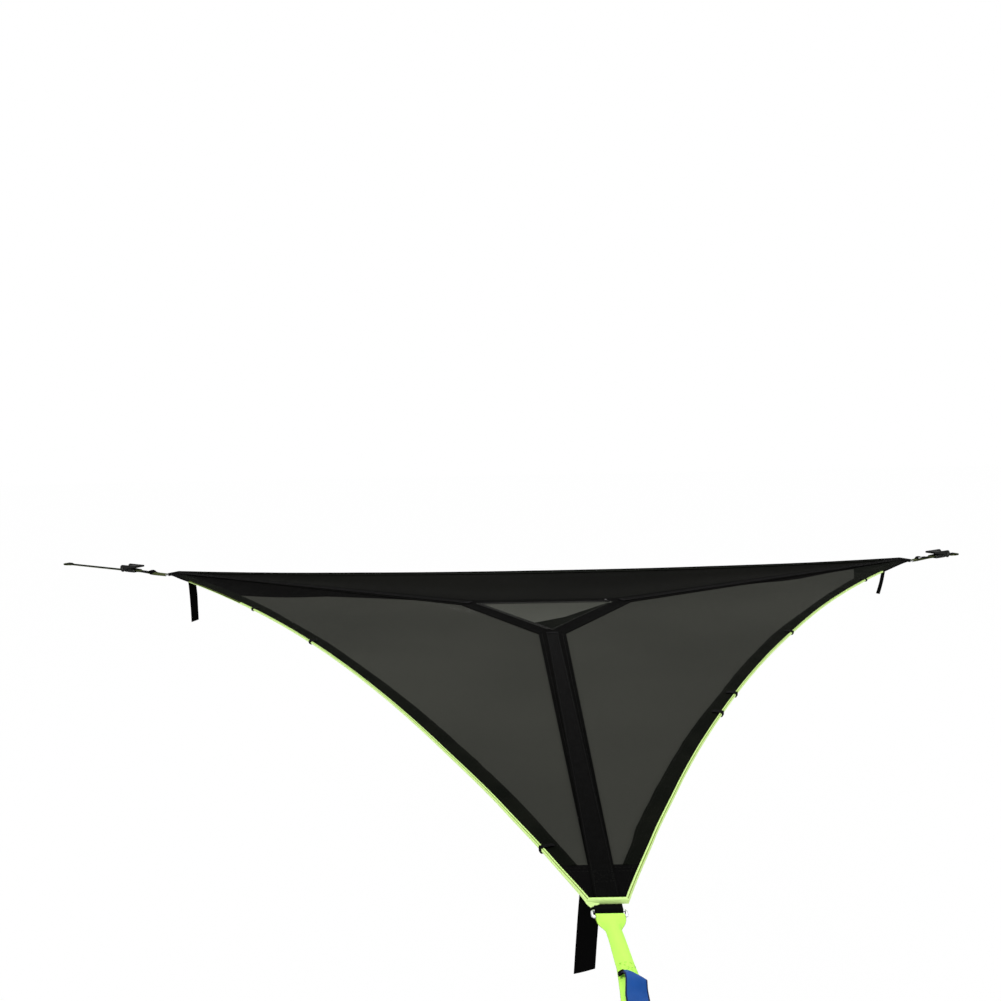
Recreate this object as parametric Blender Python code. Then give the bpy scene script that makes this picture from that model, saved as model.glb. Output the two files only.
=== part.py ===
# Triangle hammock: a taut mesh bed with a ratchet strap at each of its three corners

import math

import bmesh
import bpy
from mathutils import Vector

# Lengths are in metres and angles in degrees.
# The origin is the middle of the bed, in the plane of its underside.
# A corner's own frame has X outward along its strap, Y across it and Z up, from the bed's tip.

# Bed in plan
SIDE = 4.0  # between two corner tips
EDGE_BOW = {"right": 0.202, "far": 0.223, "left": 0.181}  # how far each edge curves in at its middle
EDGE_POWER = 2.14  # 2 is a parabola, more is flatter in the middle
CORNER_BAR = 0.072  # webbing run straight across each tip
BORDER_WIDTH = 0.042  # black band inside the coloured edge
GUSSET_LENGTH = 0.125  # solid patch from each tip inward
STRIP_WIDTH_HATCH = 0.103  # seam strip where it meets the hatch frame
STRIP_WIDTH_CORNER = 0.047  # seam strip where it meets the gusset
LAP = 0.012  # mesh carried under each band
HATCH_RADIUS = 0.345  # centre to a corner of the hatch opening
HATCH_FRAME_WIDTH = 0.105
PANEL_SAG = 0.014  # dip of each mesh panel between its seams

# Cloth and webbing
BAND_THICKNESS = 0.0016
MESH_THICKNESS = 0.0012
WEB_THICKNESS = 0.0024  # coloured edge webbing, folded over the border
WEB_LIP = 0.008  # its part on top of the border
WEB_DROP = 0.005  # its part below the border
STRAP_THICKNESS = 0.002
STRAP_WIDTH = 0.050
TREE_WIDTH = 0.038  # ratchet's own strap; the sling is gathered to it
LOOP_WIDTH = 0.049
GAP = 0.0003

# Hatch closure
ZIP_WIDTH = 0.008
ZIP_THICKNESS = 0.0015
ZIP_END = 0.020  # bare length at each end
SLIDER_LENGTH = 0.014
SLIDER_WIDTH = 0.007
SLIDER_HEIGHT = 0.004
PULL_LENGTH = 0.024
PULL_THICKNESS = 0.0015
FLAP_CLEARANCE = 0.0008

# Keepers sewn over the edge, each at a share of its edge's length
KEEPERS = {"left": 0.949, "right": 0.259}
KEEPER_WIDTH = 0.024
KEEPER_THICKNESS = 0.001
KEEPER_REACH = 0.020

# Ring at each corner
RING_WIRE = 0.005
RING_SIDE_ROOM = 0.004  # strap's edge to the middle of a side rail
RING_HALF_DEPTH = 0.009
RING_BEND = 0.004
RING_AT = 0.021  # tip to the ring's middle
BAR_CLEARANCE = 0.0004
LOOP_REACH = 0.100  # loop sewn under the gusset
LOOP_BENDS = (0.024, 0.006, 0.010, 0.028)  # where it bends on its way out and back, in from the tip
LOOP_SLACK = 0.0055

# Sling between ring and ratchet, per corner
SLING_LENGTH = {"near": 0.360, "right": 0.236, "left": 0.299}  # tip to the ratchet's bolt
SLING_TAIL = {"near": 0.162, "right": 0.131, "left": 0.139}  # from the end of the front ply to the bolt
BOLT_LAP = 0.040
PLY_GAP = 0.0006
RING_TAPER = 0.016
BOLT_TAPER = 0.026
NECK_SHARE = 0.30  # of the way from ring to front ply's end
NECK_CURL = 100.0  # half angle that the webbing curls through at its neck
NECK_GATHER = TREE_WIDTH / STRAP_WIDTH  # share of the width that is left from there on
GATHER_LENGTH = 0.168  # a shorter sling gathers less
LABEL_WIDTH = 0.034
LABEL_THICKNESS = 0.0012
LABEL_LAP = 0.010  # over the end of the front ply
LABEL_LENGTH = 0.100
LABEL_RISE = 0.010
LABEL_HUMP = 0.052  # length of the bulge at its sewn end

# Ratchet
BOLT_TO_SPOOL = 0.092
SPOOL_RISE = 0.0115  # spool axis above the sling
BOLT_RADIUS = 0.004
BOLT_HEAD_RADIUS = 0.0065
BOLT_HEAD_HEIGHT = 0.0025
PLATE_THICKNESS = 0.002
STRAP_SIDE_CLEARANCE = 0.0015
FRAME_INSIDE = TREE_WIDTH + 2.0 * STRAP_SIDE_CLEARANCE
SIDE_GAP = 0.0005
WHEEL_THICKNESS = 0.002
WHEEL_TEETH = 12
WHEEL_VALLEY = 0.0140
WHEEL_TIP = 0.0185
MANDREL_RADIUS = 0.0065
MANDREL_SLOT = 0.0040
HOLE_CLEARANCE = 0.0005
FRAME_END_RADIUS = 0.0150
FRAME_BOLT_RADIUS = 0.0072
FRAME_TOP_DROP = 0.001  # top edge below the spool axis
WEB_PLATE = (-0.078, -0.022)  # base of the frame, from the spool axis
HANDLE_END_RADIUS = 0.0200
HANDLE_WEB = (-0.094, -0.060)
GRIP_AT = (-0.107, 0.0147)
GRIP_SIZE = (0.020, 0.0100)
GRIP_OVERHANG = 0.002  # past each arm
GRIP_SQUARENESS = 0.55  # 1 is an ellipse, less is squarer
ARM_CHIN = 0.0028  # arm's end below its seat on the grip
ARM_HEEL = (-0.041, 0.0014)  # corner of the arm's underside
WASHER_RADIUS = 0.0085
WASHER_THICKNESS = 0.0016

# Pawls: distances from the spool axis
DRIVE_ANGLE = 168.0
LOCK_ANGLE = DRIVE_ANGLE + 360.0 / WHEEL_TEETH
PAWL_THICKNESS = 0.0025
PAWL_TIP = 0.0170
PAWL_BODY = 0.0205
FINGER_CLEARANCE = 0.0001  # finger's sides in from the wheel's
DRIVE_END = 0.044
DRIVE_EAR = (0.029, 0.037)
DRIVE_TRAVEL = 0.0055
TAB_HALF_WIDTH = 0.015
TAB_RISE = 0.0100
LOCK_END = 0.034
LOCK_TRAVEL = 0.0045

# Tree strap, per corner: spool axis to the end of its sewn eye
TREE_STRAP = {"near": 0.160, "right": 0.114, "left": 0.553}
ROLL_INNER = 0.0080
ROLL_PITCH = 0.0025
ROLL_TURNS = 1.45
ROLL_STEPS = 16  # a turn
ROLL_START = 15.0  # where the strap leaves the slot, from the slot's own angle
ROLL_TUCK = 0.8  # strap past the mandrel's middle, as a share of its radius
ROLL_EXIT = 0.94  # share of the mandrel's radius where it starts to bend
ROLL_BEND = (0.96, 0.1)  # next point, as shares of the roll's inner radius
ARC_CLEARANCE = 0.0004
ARC_SPAN = 60.0
ARC_OVERLAP = 12.0  # of the arc over the roll's end
EYE_LENGTH = 0.040
EYE_HALF_HEIGHT = 0.0045
EYE_TAPER = 0.010
EYE_LAP = 0.018

# Hanging tails, per corner: tip to tail along the seam, offset across it, length, lean in X, end's slant
TAIL_WIDTH = 0.038
TAILS = {
    "near": (0.1065, -0.017, 0.205, -0.014, 0.010),
    "right": (0.198, 0.0, 0.165, -0.024, -0.010),
    "left": (0.145, 0.0, 0.250, 0.022, 0.008),
}
TAIL_CURVE = 0.006
TAIL_STEPS = 8

# Places worked out from the sizes
CORNERS = {"near": -90.0, "right": 30.0, "left": 150.0}
EDGES = {"right": ("near", "right"), "far": ("right", "left"), "left": ("left", "near")}
TIP = SIDE / math.sqrt(3.0)
GUSSET_AT = TIP - GUSSET_LENGTH
FRAME_SIDE_AT = HATCH_RADIUS / 2.0 + HATCH_FRAME_WIDTH
STRIP_AT = 2.0 * FRAME_SIDE_AT - STRIP_WIDTH_HATCH / 2.0 / math.tan(math.radians(30.0))
BORDER_OUT = WEB_THICKNESS + GAP
WEB_TOP = BAND_THICKNESS + GAP + WEB_THICKNESS
LOOP_RADIUS = RING_WIRE / 2.0 + BAR_CLEARANCE + STRAP_THICKNESS / 2.0
LOOP_OUTER = LOOP_RADIUS + STRAP_THICKNESS / 2.0
STRAP_Z = -(WEB_DROP + GAP + LOOP_OUTER)
RING_HALF_LENGTH = STRAP_WIDTH / 2.0 + RING_SIDE_ROOM
INNER_BAR = RING_AT - RING_HALF_DEPTH
OUTER_BAR = RING_AT + RING_HALF_DEPTH
PLY = (STRAP_THICKNESS + PLY_GAP) / 2.0
BOLT_LOOP = BOLT_RADIUS + BAR_CLEARANCE + STRAP_THICKNESS / 2.0
LABEL_Z = PLY + STRAP_THICKNESS / 2.0 + GAP + LABEL_THICKNESS / 2.0
SPOOL_Z = STRAP_Z + SPOOL_RISE
BOLT = (-BOLT_TO_SPOOL, -SPOOL_RISE)
FRAME_BOTTOM = BOLT[1] - FRAME_BOLT_RADIUS
FRAME_IN = FRAME_INSIDE / 2.0
FRAME_OUT = FRAME_IN + PLATE_THICKNESS
WHEEL_IN = FRAME_OUT + SIDE_GAP
WHEEL_OUT = WHEEL_IN + WHEEL_THICKNESS
HANDLE_IN = WHEEL_OUT + SIDE_GAP
HANDLE_OUT = HANDLE_IN + PLATE_THICKNESS
WASHER_IN = HANDLE_OUT + SIDE_GAP
GRIP_HALF_LENGTH = HANDLE_OUT + GRIP_OVERHANG
ROLL_OUTER = ROLL_INNER + ROLL_PITCH * ROLL_TURNS + STRAP_THICKNESS / 2.0
ARC_RADIUS = ROLL_OUTER + ARC_CLEARANCE + STRAP_THICKNESS / 2.0
SLOT_ANGLE = -90.0 - ARC_SPAN + ARC_OVERLAP - 360.0 * ROLL_TURNS

EDGE_STEPS = 40
CUT_PAST = 0.05  # how far a cutter reaches past what it cuts
LIME = (0.42, 0.90, 0.11)
LABEL_BLUE = (0.012, 0.070, 0.31)
CLOTH_BLACK = (0.006, 0.006, 0.006)
MESH_DARK = (0.014, 0.014, 0.012)
MESH_PALE = (0.060, 0.061, 0.056)
METAL_BLACK = (0.010, 0.011, 0.009)
BARE_STEEL = (0.55, 0.56, 0.56)


# Mesh helpers

def mesh_from(name, verts, faces):
    """A mesh of closed shells with faces that point out."""
    mesh = bpy.data.meshes.new(name)
    bm = bmesh.new()
    made = [bm.verts.new(v) for v in verts]
    for face in faces:
        bm.faces.new([made[i] for i in face])
    bmesh.ops.recalc_face_normals(bm, faces=bm.faces)
    bm.to_mesh(mesh)
    bm.free()
    return mesh


def loft(name, rings, closed=False):
    """Skin a row of equal loops, capped unless the row is closed."""
    count = len(rings[0])
    verts = [v for ring in rings for v in ring]
    faces = []
    for i in range(len(rings) if closed else len(rings) - 1):
        a, b = i * count, (i + 1) % len(rings) * count
        for j in range(count):
            k = (j + 1) % count
            faces.append((a + j, a + k, b + k, b + j))
    if not closed:
        faces.append(tuple(range(count)))
        faces.append(tuple(range(len(verts) - count, len(verts))))
    return mesh_from(name, verts, faces)


def slab(name, points, faces):
    """A sheet from plan points (x, y, low, high) and the faces between them."""
    n = len(points)
    verts = [(x, y, high) for x, y, low, high in points]
    verts += [(x, y, low) for x, y, low, high in points]
    solid = list(faces) + [tuple(i + n for i in reversed(f)) for f in faces]
    edges = {edge for f in faces for edge in zip(f, f[1:] + f[:1])}
    solid += [(a, a + n, b + n, b) for a, b in sorted(edges) if (b, a) not in edges]
    return mesh_from(name, verts, solid)


def plate(name, outline, low, high):
    """An outline in x and z, extruded across the strap."""
    return loft(name, [[(x, y, z) for x, z in outline] for y in (low, high)])


def box(name, x, y, z):
    return plate(name, [(x[0], z[0]), (x[1], z[0]), (x[1], z[1]), (x[0], z[1])], y[0], y[1])


def turned(name, profile, sides):
    """A round piece along the Y axis from pairs of place and radius."""
    turn = [2.0 * math.pi * i / sides for i in range(sides)]
    return loft(name, [[(r * math.cos(a), y, r * math.sin(a)) for a in turn] for y, r in profile])


def mirrored(profile):
    """A turned profile of one half, carried over to the other."""
    return [(-y, r) for y, r in reversed(profile)] + profile


def bar(name, centre, radius, half_length, sides):
    return moved(turned(name, [(-half_length, radius), (half_length, radius)], sides), *centre)


def boolean(mesh, other, operation):
    """The exact Boolean of two meshes, as a new mesh."""
    pair = [bpy.data.objects.new("working", each) for each in (mesh, other)]
    for obj in pair:
        bpy.context.collection.objects.link(obj)
    modifier = pair[0].modifiers.new("boolean", "BOOLEAN")
    modifier.operation = operation
    modifier.solver = "EXACT"
    modifier.object = pair[1]
    graph = bpy.context.evaluated_depsgraph_get()
    made = bpy.data.meshes.new_from_object(pair[0].evaluated_get(graph))
    for obj in pair:
        bpy.data.objects.remove(obj)
    return made


def cut(mesh, cutter):
    return boolean(mesh, cutter, "DIFFERENCE")


def fused(mesh, other):
    return boolean(mesh, other, "UNION")


def moved(mesh, x, z):
    for vertex in mesh.vertices:
        vertex.co += Vector((x, 0.0, z))
    return mesh


def on_radius(mesh, angle):
    """Turn a piece drawn along X so that it lies on a radius of the spool."""
    a = math.radians(angle)
    for vertex in mesh.vertices:
        r, y, f = vertex.co
        vertex.co = (r * math.cos(a) - f * math.sin(a), y, r * math.sin(a) + f * math.cos(a))
    return mesh


def arc(centre, radius, start, end, steps):
    """Points on an arc from one angle to another."""
    points = []
    for i in range(steps + 1):
        a = math.radians(start + (end - start) * i / steps)
        points.append((centre[0] + radius * math.cos(a), centre[1] + radius * math.sin(a)))
    return points


def row(start, end, steps):
    """Points evenly spaced between two ends, without the last."""
    return [tuple(a + (b - a) * i / steps for a, b in zip(start, end)) for i in range(steps)]


def smooth(share):
    share = min(1.0, max(0.0, share))
    return share * share * (3.0 - 2.0 * share)


def mitres(path, closed=False):
    """The square and its reach at each point of a path, so that offsets keep their width at bends."""
    found = []
    for i, point in enumerate(path):
        here = Vector(point)
        before = (here - Vector(path[i - 1])).normalized()
        after = (Vector(path[(i + 1) % len(path)]) - here).normalized()
        if not closed and i == 0:
            before = after
        if not closed and i == len(path) - 1:
            after = before
        normal = Vector((-before.y - after.y, before.x + after.x)).normalized()
        found.append(normal / normal.dot(Vector((-before.y, before.x))))
    return found


def band(name, path, thickness, half_width, steps=1, shape=None):
    """Webbing that follows a path in x and z, flat across y unless a shape bends it."""
    across = [-half_width + 2.0 * half_width * i / steps for i in range(steps + 1)]
    rings = []
    for point, mitre in zip(path, mitres(path)):
        upper, lower = (Vector(point) + mitre * side * thickness / 2.0 for side in (1, -1))
        ring = [Vector((upper.x, y, upper.y)) for y in across]
        ring += [Vector((lower.x, y, lower.y)) for y in reversed(across)]
        rings.append([shape(v) for v in ring] if shape else ring)
    return loft(name, rings)


# Plan of the bed

def plan(corner, along, across=0.0):
    """A point in plan, by its distance from the bed's centre along a corner's seam and across it."""
    a = math.radians(CORNERS[corner])
    return Vector((math.cos(a), math.sin(a))) * along + Vector((-math.sin(a), math.cos(a))) * across


def edge_frame(edge, share):
    """A point of an edge's outline, with the directions along it and inward."""
    first, last = EDGES[edge]
    start = plan(first, TIP, CORNER_BAR / 2.0)
    chord = plan(last, TIP, -CORNER_BAR / 2.0) - start
    inward = Vector((-chord.y, chord.x)).normalized()
    t = 2.0 * share - 1.0
    slope = -2.0 * EDGE_POWER * abs(t) ** (EDGE_POWER - 1.0) * math.copysign(1.0, t)
    along = (chord + inward * EDGE_BOW[edge] * slope).normalized()
    point = start + chord * share + inward * EDGE_BOW[edge] * (1.0 - abs(t) ** EDGE_POWER)
    return point, along, Vector((-along.y, along.x))


def edge_at(edge, share, inset=0.0):
    point, along, inward = edge_frame(edge, share)
    return point + inward * inset


def share_at(edge, corner, along, inset):
    """Where an inset edge passes a distance from the centre, near one of its corners."""
    out = plan(corner, 1.0)
    near, middle = (0.0, 0.4) if EDGES[edge][0] == corner else (1.0, 0.6)
    for _ in range(40):
        half = (near + middle) / 2.0
        if edge_at(edge, half, inset).dot(out) > along:
            near = half
        else:
            middle = half
    return (near + middle) / 2.0


def edge_run(edge, inset, along, steps):
    """An inset edge between two lines square to its corners' seams."""
    first, last = EDGES[edge]
    start = share_at(edge, first, along, inset)
    end = share_at(edge, last, along, inset)
    return [edge_at(edge, start + (end - start) * i / steps, inset) for i in range(steps + 1)]


def strip_half_width(along):
    share = (along - STRIP_AT) / (GUSSET_AT - STRIP_AT)
    return (STRIP_WIDTH_HATCH + (STRIP_WIDTH_CORNER - STRIP_WIDTH_HATCH) * share) / 2.0


def perimeter(inset):
    """The bed's outline moved inward, anticlockwise from the near corner's bar."""
    points = []
    for edge in EDGES:
        points.append(plan(EDGES[edge][0], TIP, -CORNER_BAR / 2.0))
        points += [edge_at(edge, i / EDGE_STEPS) for i in range(EDGE_STEPS)]
    return [point + mitre * inset for point, mitre in zip(points, mitres(points, closed=True))]


# Pieces of the bed

def edge_webbing(edge):
    """Coloured webbing with a lip over the border and a wall outside it, from one corner's bar to the next."""
    rails = [perimeter(d) for d in (0.0, WEB_THICKNESS, WEB_LIP)]
    count = EDGE_STEPS + 1
    start = list(EDGES).index(edge) * count
    under = WEB_TOP - WEB_THICKNESS
    rings = []
    for i in range(count + 1):
        outer, wall, lip = (rail[(start + i) % len(rail)] for rail in rails)
        if i in (0, count):
            inner = start + 1 if i == 0 else start + count - 1
            pull = (rails[0][inner] - outer).normalized() * GAP
            outer, wall, lip = outer + pull, wall + pull, lip + pull
        rings.append([(outer.x, outer.y, -WEB_DROP), (outer.x, outer.y, WEB_TOP), (lip.x, lip.y, WEB_TOP),
                      (lip.x, lip.y, under), (wall.x, wall.y, under), (wall.x, wall.y, -WEB_DROP)])
    return loft("edge_webbing_" + edge, rings)


def border(edge):
    """Black band along an edge, held in the fold of the webbing."""
    outer = edge_run(edge, BORDER_OUT, GUSSET_AT - GAP, EDGE_STEPS)
    inner = edge_run(edge, BORDER_WIDTH, GUSSET_AT - GAP, EDGE_STEPS)
    rings = [[(p.x, p.y, 0.0), (p.x, p.y, BAND_THICKNESS), (q.x, q.y, BAND_THICKNESS), (q.x, q.y, 0.0)]
             for p, q in zip(outer, inner)]
    return loft("border_" + edge, rings)


def gusset(corner):
    """Solid patch that fills a tip, between the two borders and the bar."""
    before = next(edge for edge in EDGES if EDGES[edge][1] == corner)
    after = next(edge for edge in EDGES if EDGES[edge][0] == corner)
    bar_at = list(EDGES).index(after) * (EDGE_STEPS + 1)
    lines = (GUSSET_AT, (GUSSET_AT + TIP) / 2.0)
    sides = [[edge_at(edge, share_at(edge, corner, line, BORDER_OUT), BORDER_OUT) for line in lines]
             for edge in (before, after)]
    points = sides[0] + perimeter(BORDER_OUT)[bar_at:bar_at + 2] + sides[1][::-1]
    return slab("corner_gusset_" + corner, [(p.x, p.y, 0.0, BAND_THICKNESS) for p in points],
                [tuple(range(len(points)))])


def seam_strip(corner):
    """Black strip on the seam from the hatch frame to the gusset."""
    ends = (STRIP_AT + GAP, GUSSET_AT - GAP)
    points = [plan(corner, along, side * strip_half_width(along))
              for along, side in ((ends[0], -1), (ends[1], -1), (ends[1], 1), (ends[0], 1))]
    return slab("seam_strip_" + corner, [(p.x, p.y, 0.0, BAND_THICKNESS) for p in points], [(0, 1, 2, 3)])


def panel(edge):
    """Mesh between two seams and an edge, lapped under the bands round it."""
    first, last = EDGES[edge]
    far_end = GUSSET_AT + LAP
    slope = (STRIP_WIDTH_CORNER - STRIP_WIDTH_HATCH) / 2.0 / (GUSSET_AT - STRIP_AT)
    base = STRIP_WIDTH_HATCH / 2.0 - LAP - slope * STRIP_AT
    side60 = math.sin(math.radians(60.0))
    meet = (FRAME_SIDE_AT - LAP - side60 * base) / (0.5 + side60 * slope)
    knots = [plan(first, far_end, strip_half_width(far_end) - LAP),
             plan(first, meet, strip_half_width(meet) - LAP),
             plan(last, meet, LAP - strip_half_width(meet)),
             plan(last, far_end, LAP - strip_half_width(far_end))]
    stretches = (10, 4, 10)
    inner = []
    for p, q, steps in zip(knots, knots[1:], stretches):
        inner += [p.lerp(q, i / steps) for i in range(steps)]
    inner.append(knots[-1])
    outer = edge_run(edge, BORDER_WIDTH - LAP, far_end, len(inner) - 1)
    rows = 5
    points, faces = [], []
    for i, (p, q) in enumerate(zip(outer, inner)):
        dip = PANEL_SAG * math.sin(math.pi * i / (len(inner) - 1))
        for j in range(rows + 1):
            here = p.lerp(q, j / rows)
            high = -GAP - dip * math.sin(math.pi * j / rows) ** 2
            points.append((here.x, here.y, high - MESH_THICKNESS, high))
    for i in range(len(inner) - 1):
        for j in range(rows):
            a = i * (rows + 1) + j
            faces.append((a, a + rows + 1, a + rows + 2, a + 1))
    return slab("mesh_panel_" + edge, points, faces)


def hatch_frame():
    """Black frame round the hatch opening, cut square where the seam strips start."""
    half = strip_half_width(STRIP_AT)
    points, faces = [], []
    for corner in CORNERS:
        for p in (plan(corner, STRIP_AT, -half), plan(corner, STRIP_AT, half), plan(corner, HATCH_RADIUS)):
            points.append((p.x, p.y, 0.0, BAND_THICKNESS))
    for a, b in ((0, 3), (3, 6), (6, 0)):
        faces.append((a, a + 1, a + 2))
        faces.append((a + 1, b, b + 2, a + 2))
    return slab("hatch_frame", points, faces)


def hatch_flap():
    """Mesh flap that fills the opening, hinged along its side by the right edge."""
    points = [plan(corner, HATCH_RADIUS - 2.0 * FLAP_CLEARANCE) for corner in CORNERS]
    low = BAND_THICKNESS - MESH_THICKNESS
    return slab("hatch_flap", [(p.x, p.y, low, BAND_THICKNESS) for p in points], [(0, 1, 2)])


def hatch_side(edge):
    """The two ends of a side of the opening and the direction out of it."""
    start, end = (plan(corner, HATCH_RADIUS) for corner in EDGES[edge])
    return start, end, (start + end).normalized()


def zip_tape():
    """Zip on the frame along the flap's two free sides."""
    start, bend, out_far = hatch_side("far")
    bend, end, out_left = hatch_side("left")
    start = start + (bend - start).normalized() * ZIP_END
    end = end + (bend - end).normalized() * ZIP_END
    outer_bend = plan("left", HATCH_RADIUS + 2.0 * ZIP_WIDTH)
    points = [start, start + out_far * ZIP_WIDTH, bend, outer_bend, end, end + out_left * ZIP_WIDTH]
    low = BAND_THICKNESS + GAP
    return slab("zip_tape", [(p.x, p.y, low, low + ZIP_THICKNESS) for p in points],
                [(0, 1, 3, 2), (2, 3, 5, 4)])


def zip_slider():
    """Slider with its pull laid out over the frame, from the middle of the slider's underside."""
    half = SLIDER_LENGTH / 2.0
    nose = [(-half, -0.3 * SLIDER_WIDTH), (0.2 * half, -0.5 * SLIDER_WIDTH), (half, -0.5 * SLIDER_WIDTH)]
    outline = nose + [(x, -y) for x, y in reversed(nose)]
    body = loft("zip_slider", [[(x, y, z) for x, y in outline] for z in (0.0, SLIDER_HEIGHT - PULL_THICKNESS)])
    pull = box("pull", (-0.25 * SLIDER_LENGTH, 0.25 * SLIDER_LENGTH), (-0.2 * SLIDER_WIDTH, PULL_LENGTH),
               (SLIDER_HEIGHT - 1.5 * PULL_THICKNESS, SLIDER_HEIGHT))
    return fused(body, pull)


def keeper(edge, share):
    """Tab folded over the edge webbing and sewn through the border."""
    point, along, inward = edge_frame(edge, share)
    top = WEB_TOP + GAP + KEEPER_THICKNESS / 2.0
    bottom = -WEB_DROP - GAP - KEEPER_THICKNESS / 2.0
    out = -GAP - KEEPER_THICKNESS / 2.0
    path = [(KEEPER_REACH, top), (out, top), (out, bottom), (KEEPER_REACH, bottom)]

    def in_place(v):
        here = point + inward * v.x + along * v.y
        return (here.x, here.y, v.z)

    return band("edge_keeper_" + edge, path, KEEPER_THICKNESS, KEEPER_WIDTH / 2.0, shape=in_place)


# Pieces of the strap at a corner

def ring_loop():
    """Webbing loop sewn under the gusset and passed round the ring's inner bar."""
    half = STRAP_THICKNESS / 2.0
    upper = -GAP - half
    lower = upper - STRAP_THICKNESS - 2.0 * GAP
    under_bar = -WEB_DROP - GAP - half
    bends = [-reach for reach in LOOP_BENDS]
    path = [(-LOOP_REACH, upper), (bends[0], upper), (bends[1], under_bar)]
    path += arc((INNER_BAR, STRAP_Z), LOOP_RADIUS, 90, -90, 6)
    path += [(bends[2], lower - LOOP_SLACK), (bends[3], lower), (-LOOP_REACH, lower)]
    return band("ring_loop", path, STRAP_THICKNESS, LOOP_WIDTH / 2.0)


def ring():
    """Welded wire ring, from the middle of its inner bar."""
    path = []
    for x_side, y_side, start in ((1, 1, 0), (-1, 1, 90), (-1, -1, 180), (1, -1, 270)):
        centre = (RING_HALF_DEPTH + x_side * (RING_HALF_DEPTH - RING_BEND), y_side * (RING_HALF_LENGTH - RING_BEND))
        path += arc(centre, RING_BEND, start, start + 90, 3)
    sides = 8
    rings = []
    for point, mitre in zip(path, mitres(path, closed=True)):
        wire = []
        for j in range(sides):
            a = 2.0 * math.pi * (j + 0.5) / sides
            here = Vector(point) + mitre * RING_WIRE / 2.0 * math.cos(a)
            wire.append((here.x, here.y, RING_WIRE / 2.0 * math.sin(a)))
        rings.append(wire)
    return loft("ring", rings, closed=True)


def sling_curl(corner):
    """How a sling bends round its own length, from the ring's outer bar."""
    bolt = SLING_LENGTH[corner] - OUTER_BAR
    front_end = bolt - SLING_TAIL[corner]
    neck = NECK_SHARE * front_end
    start = LOOP_OUTER + GAP
    flat_from = bolt - BOLT_LAP
    fullness = min(1.0, front_end / GATHER_LENGTH)

    def curl(v):
        rise = (v.x - start) / (neck - start) if v.x < neck else (flat_from - v.x) / (flat_from - neck)
        amount = smooth(rise) * fullness
        gather = 1.0 - (1.0 - NECK_GATHER) * smooth((v.x - start) / (neck - start))
        if amount < 0.001:
            return Vector((v.x, v.y * gather, v.z))
        bend = math.radians(NECK_CURL) * amount / (STRAP_WIDTH / 2.0 * gather)
        angle = bend * v.y * gather
        radius = 1.0 / bend + v.z
        return Vector((v.x, radius * math.sin(angle), radius * math.cos(angle) - 1.0 / bend))

    return curl


def sling(corner):
    """One webbing: front ply, round the ring, back ply, round the ratchet's bolt and lapped."""
    bolt = SLING_LENGTH[corner] - OUTER_BAR
    front_end = bolt - SLING_TAIL[corner]
    path = row((front_end, PLY), (RING_TAPER, PLY), 6) + [(RING_TAPER, PLY)]
    path += arc((0.0, 0.0), LOOP_RADIUS, 90, 270, 6)
    path += row((RING_TAPER, -PLY), (front_end, -PLY), 6)
    path += row((front_end, -PLY), (bolt - BOLT_TAPER, -PLY), 6) + [(bolt - BOLT_TAPER, -PLY)]
    path += arc((bolt, 0.0), BOLT_LOOP, -90, 90, 8)
    path += [(bolt - BOLT_TAPER, PLY), (bolt - BOLT_LAP, PLY)]
    return band("sling_" + corner, path, STRAP_THICKNESS, STRAP_WIDTH / 2.0, 6, sling_curl(corner))


def sling_label(corner):
    """Flat label sewn over the end of the front ply and over the bolt's lap, with a bulge beyond the first."""
    bolt = SLING_LENGTH[corner] - OUTER_BAR
    start = bolt - SLING_TAIL[corner] - LABEL_LAP
    steps = 14
    path = []
    for i in range(steps + 1):
        x = start + LABEL_LENGTH * i / steps
        share = min(1.0, max(0.0, (x - start - LABEL_LAP / 2.0) / LABEL_HUMP))
        path.append((x, LABEL_Z + LABEL_RISE * math.sin(math.pi * share ** 0.7) ** 2))
    half = LABEL_WIDTH / 2.0 / NECK_GATHER  # it is gathered with the sling
    return band("sling_label_" + corner, path, LABEL_THICKNESS, half, 6, sling_curl(corner))


def ratchet_frame():
    """Two side plates on a base, from the bolt: holes for bolt and spool, and the lock pawl's slots."""
    outline = arc((0.0, 0.0), FRAME_END_RADIUS, -90, 177, 16)
    outline += [(-FRAME_END_RADIUS - FRAME_TOP_DROP, -FRAME_TOP_DROP)]
    outline += arc(BOLT, FRAME_BOLT_RADIUS, 90, 270, 8)
    outline += [(WEB_PLATE[1], FRAME_BOTTOM)]
    mesh = plate("ratchet_frame", outline, -FRAME_OUT, FRAME_OUT)
    back, front = BOLT[0] - FRAME_BOLT_RADIUS - CUT_PAST, FRAME_END_RADIUS + CUT_PAST
    low, high, web_top = FRAME_BOTTOM - CUT_PAST, FRAME_END_RADIUS + CUT_PAST, FRAME_BOTTOM + PLATE_THICKNESS
    inside = [(back, low), (back, high), (front, high), (front, low), (WEB_PLATE[1], low), (WEB_PLATE[1], web_top),
              (WEB_PLATE[0], web_top), (WEB_PLATE[0], low)]
    slot = box("slot", (PAWL_BODY - HOLE_CLEARANCE, LOCK_END + LOCK_TRAVEL + HOLE_CLEARANCE),
               (-2.0 * FRAME_OUT, 2.0 * FRAME_OUT), (0.0, PAWL_THICKNESS + 2.0 * GAP))
    for cutter in (plate("inside", inside, -FRAME_IN, FRAME_IN),
                   bar("spool_hole", (0.0, 0.0), MANDREL_RADIUS + HOLE_CLEARANCE, 2.0 * FRAME_OUT, 24),
                   bar("bolt_hole", BOLT, BOLT_RADIUS + HOLE_CLEARANCE, 2.0 * FRAME_OUT, 16),
                   on_radius(slot, LOCK_ANGLE)):
        mesh = cut(mesh, cutter)
    return moved(mesh, -BOLT[0], -BOLT[1])


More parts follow.
